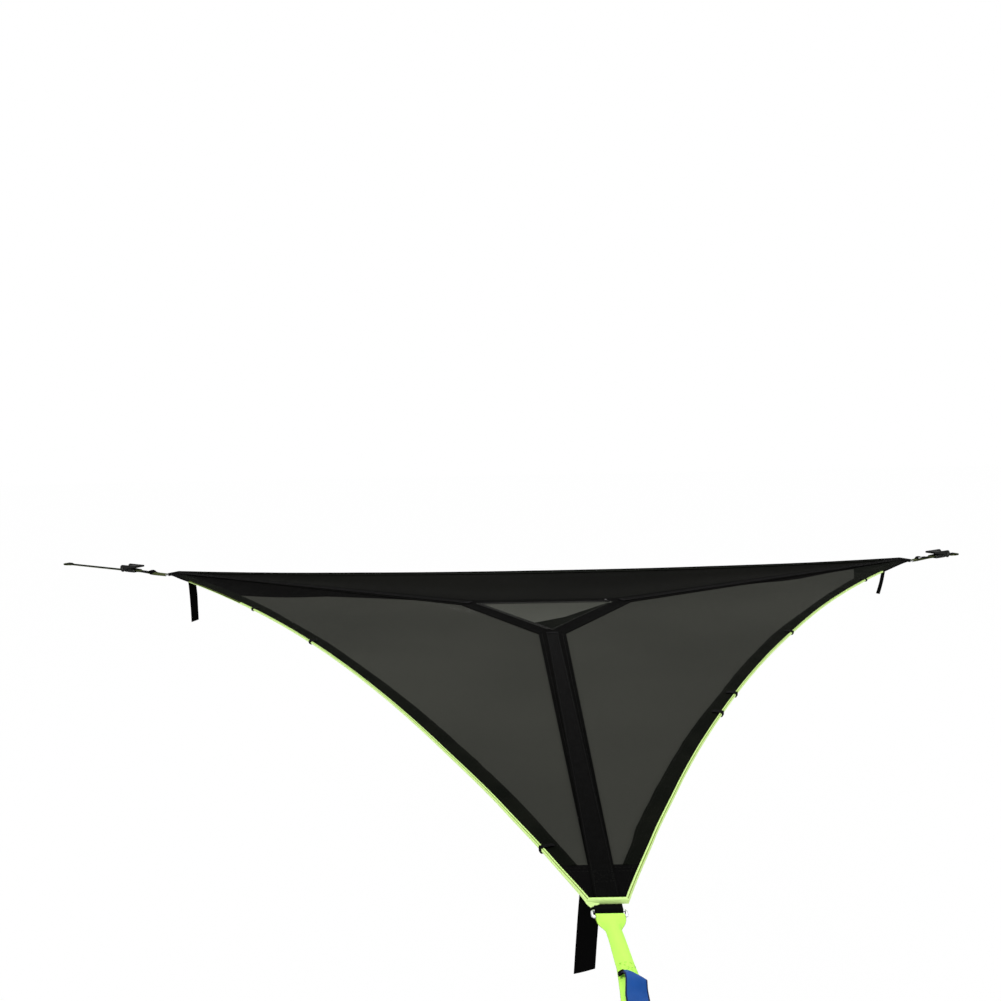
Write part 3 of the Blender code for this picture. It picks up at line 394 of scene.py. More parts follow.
for build, looks in ((webbingMaterial, webbings), (meshMaterial, meshes), (clothMaterial, cloths),
                     (metalMaterial, metals), (threadMaterial, threads), (plasticMaterial, plastics)):
    for materialName, materialLook in looks.items():
        build(materialName, materialLook)
labelMaterial(labelLook)
print("materials ready:", len(paint))


# Plan of the bed, as the frame has it: metres, origin at the middle of the bed

corners = {"near": -90.0, "right": 30.0, "left": 150.0}
edges = {"right": ("near", "right"), "far": ("right", "left"), "left": ("left", "near")}
bed = {
    "side": 4.0, "bow": {"right": 0.202, "far": 0.223, "left": 0.181}, "power": 2.14,
    "cornerBar": 0.072, "borderWidth": 0.042, "gussetLength": 0.125,
    "stripAtHatch": 0.103, "stripAtCorner": 0.047, "lap": 0.012,
    "hatchRadius": 0.345, "hatchFrame": 0.073, "sag": 0.014,  # hatchFrame is narrower than the solid's
    "clothThick": 0.0016, "meshThick": 0.0012, "webThick": 0.0024, "webDrop": 0.005,
}
gap = 0.0003
tip = bed["side"] / sqrt(3.0)
gussetAt = tip - bed["gussetLength"]
frameSideAt = bed["hatchRadius"] / 2.0 + bed["hatchFrame"]
stripAt = 2.0 * frameSideAt - bed["stripAtHatch"] / 2.0 / tan(radians(30.0))
borderOut = bed["webThick"] + gap
webTop = bed["clothThick"] + gap + bed["webThick"]


edgeOut = {  # how far each edge lies outside the solid's, at shares of its length
    "right": ((0.0, 0.0), (0.06, 0.004), (0.12, 0.0075), (0.3, 0.0125), (0.5, 0.0125), (0.7, 0.008),
              (0.9, 0.006), (1.0, 0.0)),
    "far": ((0.0, 0.0), (0.1, 0.002), (0.3, 0.020), (0.5, 0.026), (0.7, 0.020), (0.9, 0.002), (1.0, 0.0)),
    "left": ((0.0, 0.0), (0.06, 0.012), (0.2, 0.014), (0.5, 0.009), (0.7, 0.013), (0.8, 0.0135), (0.9, 0.008),
             (0.96, 0.004), (1.0, 0.0)),
}
borderInner = {  # how far in from the solid's edge each border reaches
    "right": ((0.0, 0.033), (0.045, 0.034), (0.07, 0.039), (0.2, 0.038), (0.3, 0.032), (0.4, 0.037),
              (0.5, 0.043), (0.62, 0.037), (0.72, 0.043), (0.85, 0.054), (1.0, 0.050)),
    "far": ((0.0, 0.042), (1.0, 0.042)),
    "left": ((0.0, 0.046), (0.3, 0.048), (0.4, 0.040), (0.5, 0.042), (0.6, 0.036), (0.8, 0.035), (0.9, 0.037),
             (0.95, 0.034), (1.0, 0.034)),
}


def smooth(share):
    share = min(1.0, max(0.0, share))
    return share * share * (3.0 - 2.0 * share)


def between(marks, share):
    # value at a share of the length, eased from mark to mark
    for (a, low), (b, high) in zip(marks, marks[1:]):
        if share <= b:
            return low + (high - low) * smooth((share - a) / (b - a))
    return marks[-1][1]


def plan(corner, along, across=0.0):
    a = radians(corners[corner])
    return Vector((cos(a), sin(a))) * along + Vector((-sin(a), cos(a))) * across


def edgeFrame(edge, share):
    first, last = edges[edge]
    start = plan(first, tip, bed["cornerBar"] / 2.0)
    chord = plan(last, tip, -bed["cornerBar"] / 2.0) - start
    inward = Vector((-chord.y, chord.x)).normalized()
    t = 2.0 * share - 1.0
    slope = -2.0 * bed["power"] * abs(t) ** (bed["power"] - 1.0) * copysign(1.0, t)
    along = (chord + inward * bed["bow"][edge] * slope).normalized()
    bow = bed["bow"][edge] * (1.0 - abs(t) ** bed["power"]) - between(edgeOut[edge], share)
    return start + chord * share + inward * bow, along, Vector((-along.y, along.x))


def edgeAt(edge, share, inset=0.0):
    point, along, inward = edgeFrame(edge, share)
    return point + inward * inset


def shareAt(edge, corner, along, inset):
    out = plan(corner, 1.0)
    near, middle = (0.0, 0.4) if edges[edge][0] == corner else (1.0, 0.6)
    for _ in range(40):
        half = (near + middle) / 2.0
        if edgeAt(edge, half, inset).dot(out) > along:
            near = half
        else:
            middle = half
    return (near + middle) / 2.0


def edgeRun(edge, inset, along, steps):
    first, last = edges[edge]
    start = shareAt(edge, first, along, inset)
    end = shareAt(edge, last, along, inset)
    return [edgeAt(edge, start + (end - start) * i / steps, inset) for i in range(steps + 1)]


def stripHalf(along):
    share = (along - stripAt) / (gussetAt - stripAt)
    return (bed["stripAtHatch"] + (bed["stripAtCorner"] - bed["stripAtHatch"]) * share) / 2.0


def mitres(path, closed=False):
    found = []
    for i, point in enumerate(path):
        here = Vector(point)
        before = (here - Vector(path[i - 1])).normalized()
        after = (Vector(path[(i + 1) % len(path)]) - here).normalized()
        if not closed and i == 0:
            before = after
        if not closed and i == len(path) - 1:
            after = before
        normal = Vector((-before.y - after.y, before.x + after.x)).normalized()
        found.append(normal / max(0.5, normal.dot(Vector((-before.y, before.x)))))
    return found


def tipMatrix(corner):
    # a corner's own frame: X outward along its strap, Y across it, Z up, from the bed's tip
    turn = Matrix.Rotation(radians(corners[corner]), 4, "Z")
    return Matrix.Translation(plan(corner, tip).to_3d()) @ turn


# Builders of pieces

def addPiece(name, verts, faces, places, material, body, stands=None, slot=None, place=None, others=()):
    # stands names the solid that the piece replaces, and slot the one that it only belongs to; slot is not
    # used
    mesh = bpy.data.meshes.new(name)
    mesh.from_pydata([tuple(v) for v in verts], [], faces)
    layer = mesh.uv_layers.new(name="cloth")
    layer.data.foreach_set("uv", [c for loop in mesh.loops for c in places[loop.vertex_index]])
    mesh.materials.append(paint[material])
    for index, (other, chosen) in enumerate(others):
        mesh.materials.append(paint[other])
        for i in chosen:
            mesh.polygons[i].material_index = index + 1
    bm = bmesh.new()
    bm.from_mesh(mesh)
    bmesh.ops.recalc_face_normals(bm, faces=bm.faces)
    bm.to_mesh(mesh)
    bm.free()
    if place:
        mesh.transform(place)
    mesh.shade_smooth()
    mesh.set_sharp_from_angle(angle=radians(40.0))
    piece = bpy.data.objects.new(name, mesh)
    bpy.context.collection.objects.link(piece)
    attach(piece, body)
    if stands:
        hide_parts(stands)
    if stands or slot:
        stands or slot
    return piece


def loftFaces(rings, count):
    faces = []
    for a in range(0, (rings - 1) * count, count):
        for j in range(count):
            k = (j + 1) % count
            faces.append((a + j, a + k, a + count + k, a + count + j))
    return faces + [tuple(range(count)), tuple(range((rings - 1) * count, rings * count))]


def clothGrid(rows, columns, cell):
    # top points and map places of a sheet, from cell(row, column)
    cells = [[cell(i, j) for j in range(columns + 1)] for i in range(rows + 1)]
    return [[[both[k] for both in line] for line in cells] for k in (0, 1)]


def clothSlab(name, rows, cols, cell, thick, *args, **extra):
    # a sheet from its top points, cell(row, column), with an underside below it
    grid, places = clothGrid(rows, cols, cell)
    rows, cols = rows + 1, cols + 1
    top = [p for line in grid for p in line]
    verts = top + [p - Vector((0.0, 0.0, thick)) for p in top]
    flat = [p for line in places for p in line]
    n = len(top)
    faces = []
    for i in range(rows - 1):
        for j in range(cols - 1):
            a = i * cols + j
            quad = (a, a + 1, a + cols + 1, a + cols)
            faces.append(quad)
            faces.append(tuple(n + k for k in reversed(quad)))
    rim = [j for j in range(cols - 1)] + [i * cols + cols - 1 for i in range(rows - 1)]
    rim += [(rows - 1) * cols + j for j in range(cols - 1, 0, -1)]
    rim += [i * cols for i in range(rows - 1, 0, -1)]
    for a, b in zip(rim, rim[1:] + rim[:1]):
        faces.append((a, b, b + n, a + n))
    return addPiece(name, verts, faces, flat + flat, *args, **extra), grid


def flatSection(width, thick, across, inset):
    # outline of flat webbing across its width, with rounded selvedges
    half, r = width / 2.0, thick / 2.0
    line = [-half + inset * r + (width - 2.0 * inset * r) * i / across for i in range(across + 1)]
    return [(y, r) for y in line] + [(half, 0.0)] + [(y, -r) for y in reversed(line)] + [(-half, 0.0)]


def ribbon(name, path, width, thick, across, *args, shape=None, **extra):
    # webbing that follows a path in x and z; the map's origin is its middle line
    section = flatSection(width, thick, across, 0.6)
    verts, places, run = [], [], 0.0
    for i, (point, mitre) in enumerate(zip(path, mitres(path))):
        if i:
            run += (Vector(point) - Vector(path[i - 1])).length
        for y, off in section:
            here = Vector(point) + mitre * off
            v = Vector((here.x, y, here.y))
            verts.append(shape(v, run) if shape else v)
            places.append((y, run))
    addPiece(name, verts, loftFaces(len(path), len(section)), places, *args, **extra)
    return run


def softened(path, times=2):
    # corners cut off a coarse path, again and again, so that it bends like cloth
    for _ in range(times):
        cut = [path[0]]
        for p, q in zip(path, path[1:]):
            cut.append((0.75 * p[0] + 0.25 * q[0], 0.75 * p[1] + 0.25 * q[1]))
            cut.append((0.25 * p[0] + 0.75 * q[0], 0.25 * p[1] + 0.75 * q[1]))
        path = cut + [path[-1]]
    return path


def onCircle(centre, radius, degrees):
    a = radians(degrees)
    return centre[0] + radius * cos(a), centre[1] + radius * sin(a)


def arc(centre, radius, start, end, steps):
    return [onCircle(centre, radius, start + (end - start) * i / steps) for i in range(steps + 1)]


def row(start, end, steps):
    return [tuple(a + (b - a) * i / steps for a, b in zip(start, end)) for i in range(steps)]


stitch = {"length": 0.0052, "space": 0.0030, "width": 0.0011, "height": 0.0007}
stitchLift = 0.0001  # the stitches' height over their cloth


def stitches(name, lines, material, body, place=None, look=stitch, slot=None):
    # raised stitches along lines of 3-D points
    verts, faces, places = [], [], []
    for line in lines:
        points = [Vector(p) for p in line]
        reach = [0.0]
        for p, q in zip(points, points[1:]):
            reach.append(reach[-1] + (q - p).length)
        at, i = look["space"] / 2.0, 0
        while at + look["length"] < reach[-1]:
            while reach[i + 1] < at + look["length"] / 2.0:
                i += 1
            share = (at + look["length"] / 2.0 - reach[i]) / (reach[i + 1] - reach[i])
            middle = points[i].lerp(points[i + 1], share)
            along = (points[i + 1] - points[i]).normalized()
            side = along.cross(Vector((0, 0, 1)))
            if side.length < 0.1:
                side = Vector((0, 1, 0))
            side.normalize()
            a = len(verts)
            ends = along * look["length"] / 2.0
            sides, rise = side * look["width"] / 2.0, side.cross(along) * look["height"]
            verts += [middle - ends, middle + sides - rise * 0.4, middle + ends, middle - sides - rise * 0.4,
                      middle + rise + ends * 0.45, middle + rise - ends * 0.45]
            faces += [(a, a + 1, a + 5), (a + 1, a + 2, a + 4), (a + 1, a + 4, a + 5), (a + 2, a + 3, a + 4),
                      (a + 3, a, a + 5), (a + 3, a + 5, a + 4), (a, a + 3, a + 1), (a + 1, a + 3, a + 2)]
            places += [(0.0, at), (0.0005, at + 0.002), (0.0, at + 0.005), (-0.0005, at + 0.002),
                       (0.0002, at + 0.004), (-0.0002, at + 0.001)]
            at += look["length"] + look["space"]
    return addPiece(name, verts, faces, places, material, body, place=place, slot=slot)


def boxStitch(x0, x1, half, z):
    # a sewn rectangle with its diagonals, as lines in a strap's own frame
    a, b, c, d = (x0, -half, z), (x1, -half, z), (x1, half, z), (x0, half, z)
    return [[a, b], [b, c], [c, d], [d, a], [a, c], [b, d]]


# Bed


def lifted(point, height):
    return Vector((point.x, point.y, height))


def raised(points, height=stitchLift):
    return [p + Vector((0.0, 0.0, height)) for p in points]


def wrinkle(point, scale, seed):
    return noise.noise(Vector((point.x * scale, point.y * scale, seed)))


def pathLength(points):
    return sum((q - p).length for p, q in zip(points, points[1:]))


def gridArea(grid):
    return sum(0.5 * (a - c).cross(b - d).length for low, high in zip(grid, grid[1:])
               for a, b, c, d in zip(low, low[1:], high[1:], high))


def layBand(*args, under, **extra):
    # a laid band or patch of cloth; its length and area are worked out but not used
    piece, grid = clothSlab(*args, **extra)
    length = max(pathLength([line[j] for line in grid]) for j in (0, -1))
    area = gridArea(grid)
    return grid


def seam(name, grid, columns, rows=()):
    # black stitches along some columns and rows of a sheet of the bed
    lines = [raised(grid[i]) for i in rows] + [raised([line[j] for line in grid]) for j in columns]
    stitches(name, lines, "blackThread", "bed")


panelLook = {"rows": 12, "crowd": 1.25, "stretches": (34, 14, 34), "reach": 0.024, "ripple": 0.0014,
             "pleat": 0.0014, "fill": 0.55}  # fill: share of its flat rectangle that a panel takes


def buildPanel(edge):
    # mesh between two seams and an edge, taut, with small pleats where it is gathered into the border
    first, last = edges[edge]
    look, lap = panelLook, bed["lap"]
    farEnd = gussetAt + lap
    slope = (bed["stripAtCorner"] - bed["stripAtHatch"]) / 2.0 / (gussetAt - stripAt)
    base = bed["stripAtHatch"] / 2.0 - lap - slope * stripAt
    side60 = sin(radians(60.0))
    meet = (frameSideAt - lap - side60 * base) / (0.5 + side60 * slope)
    knots = [plan(first, farEnd, stripHalf(farEnd) - lap), plan(first, meet, stripHalf(meet) - lap),
             plan(last, meet, lap - stripHalf(meet)), plan(last, farEnd, lap - stripHalf(farEnd))]
    inner = []
    for p, q, steps in zip(knots, knots[1:], look["stretches"]):
        inner += [p.lerp(q, i / steps) for i in range(steps)]
    inner.append(knots[-1])
    outer = edgeRun(edge, look["reach"], farEnd, len(inner) - 1)
    lengthways = (outer[-1] - outer[0]).normalized()
    sideways = Vector((-lengthways.y, lengthways.x))

    def cell(i, j):
        share = (j / look["rows"]) ** look["crowd"]
        here = outer[i].lerp(inner[i], share)
        inside = sin(pi * share)
        dip = bed["sag"] * sin(pi * i / (len(inner) - 1)) * inside ** 2
        ripple = look["ripple"] * inside * (0.5 + wrinkle(here, 2.2, 2.0))
        pleat = look["pleat"] * abs(noise.noise(Vector((i * 0.9, 0.0, 7.0)))) * exp(-4.0 * share)
        z = -gap - dip - ripple - pleat * inside
        return lifted(here, z), (here.dot(sideways), here.dot(lengthways))

    # the far panel keeps the mesh's near-black; the other two get the painted backlight
    cloth = "darkMesh" if edge == "far" else "paleMesh"
    piece, grid = clothSlab("panel_" + edge, len(inner) - 1, look["rows"], cell, bed["meshThick"], cloth,
                            "bed", stands="mesh_panel_" + edge)
    area, span = gridArea(grid), (outer[-1] - outer[0]).length
    return piece


borderLook = {"steps": 190, "columns": 8, "thick": 0.0013, "ripple": 0.0011, "wave": 0.0016, "hem": 0.0007}


def buildBorder(edge):
    # black band inside the webbing; its inner edge is hemmed and a little wavy
    look, steps, columns = borderLook, borderLook["steps"], borderLook["columns"]
    outer = edgeRun(edge, borderOut, gussetAt - gap, steps)
    start, end = (shareAt(edge, corner, gussetAt - gap, bed["borderWidth"]) for corner in edges[edge])
    runs = [pathLength(outer[:i + 1]) for i in range(steps + 1)]

    def cell(i, j):
        run, share = runs[i], start + (end - start) * i / steps
        wavy = look["wave"] * noise.noise(Vector((run * 16.0, 3.0, 1.0)))
        inner = edgeAt(edge, share, between(borderInner[edge], share) + between(edgeOut[edge], share) + wavy)
        free = smooth((j / columns - 0.2) / 0.5)
        z = bed["clothThick"] + look["ripple"] * free * abs(noise.noise(Vector((run * 22.0, j * 0.15, 5.0))))
        z += look["hem"] if j >= columns - 2 else 0.0
        return lifted(outer[i].lerp(inner, j / columns), z), ((inner - outer[i]).length * j / columns, run)

    grid = layBand("border_band_" + edge, steps, columns, cell, look["thick"], "borderCloth", "bed",
                   stands="border_" + edge, under=["panel_" + edge])
    seam("border_stitch_" + edge, grid, (columns - 1, columns // 3))


edgingLook = {
    "steps": 160, "drop": 0.0028, "tipDrop": 0.0050,
    "stitchIn": 0.0044, "stitch": dict(stitch, length=0.0060, width=0.0007),
    "lime": {"left": (0.075, 1.1), "right": (-0.1, 0.885), "far": (-0.1, 1.1)},  # black webbing beyond
    "limeLip": {"left": (0.26, 1.1), "right": (-0.1, 0.885), "far": (2.0, 2.0)},
}


def perimeter(inset, steps):
    points = []
    for edge in edges:
        points.append(plan(edges[edge][0], tip, -bed["cornerBar"] / 2.0))
        points += [edgeAt(edge, i / steps) for i in range(steps)]
    return [point + mitre * inset for point, mitre in zip(points, mitres(points, closed=True))]


def buildEdging(edge):
    # lime webbing folded over the border: a lip on top, a sewn groove painted olive as shade, and a rolled
    # outer side
    steps, drop, count = edgingLook["steps"], edgingLook["drop"], edgingLook["steps"] + 1
    section = [  # inset from the outer edge, and height
        (0.0060, webTop - 0.0022), (0.0062, webTop - 0.0010), (0.0057, webTop - 0.0001),
        (0.0044, webTop + 0.0002), (0.0026, webTop), (0.0021, webTop - 0.0008), (0.0014, webTop - 0.0009),
        (0.0008, webTop - 0.0004), (0.0001, webTop - 0.0014), (-0.0003, 0.0006), (-0.0001, -drop + 0.0012),
        (0.0007, -drop - 0.0002), (0.0017, -drop), (0.0022, -drop + 0.0012), (0.0022, webTop - 0.0030),
        (0.0050, webTop - 0.0025)]
    lip, groove, side = (0, 1, 2, 3, 14, 15), (4, 5, 6), (7, 8, 9, 10, 11, 12, 13)
    start = list(edges).index(edge) * count
    rails = {inset: perimeter(inset, steps) for inset in sorted({i for i, z in section})}
    around = [0.0]
    for a, b in zip(section, section[1:]):
        around.append(around[-1] + (Vector(b) - Vector(a)).length)
    middle = rails[0.0008]
    size = len(middle)
    verts, places, run = [], [], 0.0
    for i in range(count + 1):
        here = middle[(start + i) % size]
        if i:
            run += (here - middle[(start + i - 1) % size]).length
        pull = Vector((0.0, 0.0))
        if i in (0, count):  # the ends of two edgings stand a gap apart
            pull = (middle[start + 1 if i == 0 else start + count - 1] - here).normalized() * gap
        tipShare = 1.0 if i < 2 else smooth(1.0 - 30.0 * min(i - 1, count - i) / count)
        for (inset, z), turn in zip(section, around):
            p = rails[inset][(start + i) % size] + pull
            low = (edgingLook["tipDrop"] - drop) * tipShare * smooth(-z / drop)
            verts.append((p.x, p.y, z + 0.0004 * wrinkle(p, 9.0, 2.0) - low))
            places.append((turn, run))

    def chosen(columns, inside):
        return [i * len(section) + j for i in range(count) for j in columns if inside((i - 1) / steps)]

    low, high = edgingLook["lime"][edge]
    lipLow, lipHigh = edgingLook["limeLip"][edge]
    black = chosen(side[2:] + groove, lambda s: not low < s < high)
    black += chosen(side[:2] + lip, lambda s: not lipLow < s < lipHigh)
    # painted shade: the lime groove's faces take the darker olive
    olive = chosen(groove, lambda s: low < s < high and s >= 0.0)
    addPiece("edging_" + edge, verts, loftFaces(count + 1, len(section)), places, "limeEdging", "bed",
             stands="edge_webbing_" + edge, others=(("oliveThread", olive), ("seamWebbing", black)))
    line = [lifted(p, webTop + 0.0002) for p in perimeter(edgingLook["stitchIn"], steps)]
    line = [line[(start + i) % size] for i in range(count + 1) if lipLow < (i - 1) / steps < lipHigh]
    if line:
        stitches("edging_stitch_" + edge, [line], "limeThread", "bed", look=edgingLook["stitch"])


gussetLook = {"rows": 10, "columns": 10, "thick": 0.0014, "fold": 0.0007}


def buildGusset(corner):
    before = next(edge for edge in edges if edges[edge][1] == corner)
    after = next(edge for edge in edges if edges[edge][0] == corner)
    rows, columns = gussetLook["rows"], gussetLook["columns"]
    alongs = [gussetAt + (tip - borderOut - gussetAt) * i / rows for i in range(rows + 1)]
    sides = [[edgeAt(edge, shareAt(edge, corner, along, borderOut), borderOut) for edge in (before, after)]
             for along in alongs]

    def cell(i, j):
        here = sides[i][0].lerp(sides[i][1], j / columns)
        fold = gussetLook["fold"] * abs(wrinkle(here, 38.0, 4.0)) * sin(pi * j / columns)
        return lifted(here, bed["clothThick"] + fold), ((here - sides[i][0]).length, alongs[i])

    grid = layBand("gusset_" + corner, rows, columns, cell, gussetLook["thick"], "gussetCloth", "bed",
                   stands="corner_gusset_" + corner, under=["edging_" + before, "edging_" + after])
    seam("gusset_stitch_" + corner, grid, (1, columns - 1), (1, 2))


stripLook = {"steps": 60, "columns": 8, "thick": 0.0013, "fold": 0.0008, "hem": 0.0006, "webHalf": 0.0225,
             "webThick": 0.0015, "webEnds": (0.016, 0.012), "webRise": 0.0005, "webWave": 0.0003,
             "patch": (-0.018, 0.006), "patchWider": 0.001, "patchThick": 0.0008, "box": (-0.098, -0.058),
             "stitchIn": 0.004, "boxIn": 0.006}


def buildStrip(corner):
    # wide band with the seam's webbing along its middle, out to the tip
    look, columns, web = stripLook, stripLook["columns"], stripLook["webHalf"]
    start, end = stripAt + gap, gussetAt - gap

    def cell(i, j):
        along = start + (end - start) * i / look["steps"]
        across = stripHalf(along) * (j - 4) / 4.0
        here = plan(corner, along, across)
        rim = j in (0, columns)
        z = bed["clothThick"] + look["fold"] * abs(wrinkle(here, 24.0, 9.0)) * (0.3 if rim else 1.0)
        return lifted(here, z + (look["hem"] if rim else 0.0)), (across, along)

    under = ["panel_" + edge for edge in edges if corner in edges[edge]]
    grid = layBand("strip_" + corner, look["steps"], columns, cell, look["thick"], "stripCloth", "bed",
                   stands="seam_strip_" + corner, under=under)
    base = bed["clothThick"] + look["webRise"] + look["webThick"] / 2.0
    first, last = start - look["webEnds"][0], tip - look["webEnds"][1]
    alongs = [first + (last - first) * i / 90 for i in range(91)]
    path = [(along - tip, base + look["webWave"] * noise.noise(Vector((along * 11.0, 0.0, 3.0))))
            for along in alongs]
    held = dict(place=tipMatrix(corner), slot="seam_strip_" + corner)
    ribbon("seam_webbing_" + corner, path, 2.0 * web, look["webThick"], 6, "seamWebbing", "bed", **held)
    top = base + look["webThick"] / 2.0 + stitchLift
    near, far = ((start - tip + reach, top + 0.0005) for reach in look["patch"])
    ribbon("seam_end_" + corner, row(near, far, 6), 2.0 * web + look["patchWider"], look["patchThick"], 6,
           "blackWebbing", "bed", **held)
    near, far = path[0][0] + look["stitchIn"], path[-1][0] - look["stitchIn"]
    sides = (look["stitchIn"] - web, web - look["stitchIn"])
    lines = [[(near, side, top), (far, side, top)] for side in sides]
    lines += boxStitch(*look["box"], web - look["boxIn"], top)
    stitches("seam_stitch_" + corner, lines, "blackThread", "bed", place=tipMatrix(corner))
    seam("strip_stitch_" + corner, grid, (1, columns - 1))


patches = {  # dark sheets that darken the mesh at the far corners: its free edge, along and across the corner's line
    "left": dict(corner="left", cloth="stripCloth", outer=(
        (0.628, 0.041), (1.103, 0.133), (1.443, 0.289), (1.485, 0.306), (1.590, 0.284), (1.700, 0.245),
        (1.850, 0.180), (gussetAt, 0.080))),
    "right": dict(corner="right", cloth="stripCloth", outer=(
        (1.050, -0.036), (1.180, -0.050), (1.289, -0.069), (1.422, -0.073), (1.635, -0.052), (1.760, -0.046),
        (1.852, -0.044), (gussetAt, -0.040))),
    "right_tip": dict(corner="right", cloth="borderCloth", outer=((1.553, -0.400), (gussetAt, -0.400)),
                      inner=((1.553, -0.286), (1.852, -0.038), (gussetAt, -0.020))),
}
patchLook = {"steps": 70, "columns": 16, "thick": 0.0006, "off": 0.0002, "hidden": 0.014, "under": 0.022,
             "least": 0.004}


def markAt(marks, along):
    (a, low), (b, high) = next(pair for pair in zip(marks, marks[1:]) if along <= pair[1][0] + 1e-6)
    return low + (high - low) * (along - a) / (b - a)


def buildPatch(name):
    # a single layer lying on the mesh, from under the strip to its own cut edge or under the border
    look, steps, columns = patches[name], patchLook["steps"], patchLook["columns"]
    corner, marks = look["corner"], look["outer"]
    mesh = panels[corner].data  # each far corner's near side is on the edge of the same name
    ground = BVHTree.FromPolygons([v.co for v in mesh.vertices], [f.vertices for f in mesh.polygons])
    side = copysign(1.0, marks[0][1])
    off = patchLook["thick"] + patchLook["off"] + (0.0001 if "inner" in look else 0.0)
    spans = []
    for i in range(steps + 1):
        along = marks[0][0] + (marks[-1][0] - marks[0][0]) * i / steps
        inner = side * (stripHalf(along) - patchLook["hidden"])
        if "inner" in look:
            inner = markAt(look["inner"], along)
        limit = edgeAt(corner, shareAt(corner, corner, along, patchLook["under"]), patchLook["under"])
        reach = min(side * markAt(marks, along), side * limit.dot(plan(corner, 0.0, 1.0)))
        spans.append((along, inner, side * max(side * inner + patchLook["least"], reach)))

    def cell(i, j):
        along, inner, outer = spans[i]
        across = inner + (outer - inner) * j / columns
        here = plan(corner, along, across)
        hit = ground.ray_cast(Vector((here.x, here.y, 0.05)), Vector((0.0, 0.0, -1.0)))[0]
        return lifted(here, (hit.z if hit else -gap) + off), (across, along)

    layBand("patch_" + name, steps, columns, cell, patchLook["thick"], look["cloth"], "bed",
            slot="seam_strip_" + corner, under=["panel_" + corner])


hatchLook = {"steps": 40, "columns": 6, "thick": 0.0013, "fold": 0.0007, "rim": 0.0005,
             "cornerThick": 0.0010, "cornerWider": 0.0006}
zipLook = {"steps": 40, "width": 0.008, "thick": 0.0008, "crown": 0.0003, "end": 0.020}
tooth = {"pitch": 0.0024, "aside": 0.0005, "foot": 0.0008, "top": 0.0019, "narrow": 0.62,
         "half": (0.0009, 0.0019)}  # half sizes along and across the zip


def buildHatchFrame():
    steps, columns, half = hatchLook["steps"], hatchLook["columns"], stripHalf(stripAt)
    for edge, (first, last) in edges.items():
        outer = (plan(first, stripAt, half), plan(last, stripAt, -half))
        inner = (plan(first, bed["hatchRadius"]), plan(last, bed["hatchRadius"]))
        lengthways = (outer[1] - outer[0]).normalized()

        def cell(i, j):
            start = outer[0].lerp(outer[1], i / steps)
            here = start.lerp(inner[0].lerp(inner[1], i / steps), j / columns)
            z = bed["clothThick"] + hatchLook["fold"] * abs(wrinkle(here, 20.0, 6.0))
            z += hatchLook["rim"] if j in (0, columns) else 0.0
            return lifted(here, z), ((here - start).length, here.dot(lengthways))

        stands = "hatch_frame" if edge == "right" else None
        grid = layBand("hatch_band_" + edge, steps, columns, cell, hatchLook["thick"], "stripCloth", "bed",
                       stands=stands, slot="hatch_frame", under=["panel_" + edge])
        seam("hatch_stitch_" + edge, grid, (1, columns - 1))
    for corner in corners:  # short end pieces between two bands

        def endCell(i, j):
            along = bed["hatchRadius"] + (stripAt - bed["hatchRadius"]) * i / 6.0
            across = (half * i / 6.0 + hatchLook["cornerWider"]) * (j - 2) / 2.0
            return lifted(plan(corner, along, across), bed["clothThick"] - gap), (across, along)

        clothSlab("hatch_corner_" + corner, 6, 4, endCell, hatchLook["cornerThick"], "stripCloth", "bed",
                  slot="hatch_frame")


def hatchSide(edge, reach):
    start, end = (plan(corner, reach) for corner in edges[edge])
    return start, end, (start + end).normalized()


flapLook = {
    "rows": 24, "smaller": 0.0016, "dip": 0.0035,
    "hem": 0.012, "hemSteps": 30, "hemThick": 0.0009, "hemRise": 0.0008, "hemCrown": 0.0003,
    "cornerSteps": 40, "cornerThick": 0.0004, "cornerRise": 0.0006,
    # the painted shade sheet's free edge, along and across the near corner's line, and the share where it
    # turns
    "cornerMarks": ((0.2198, -0.0723), (0.121, 0.063), (-0.148, 0.272)), "cornerTurn": 0.4,
}


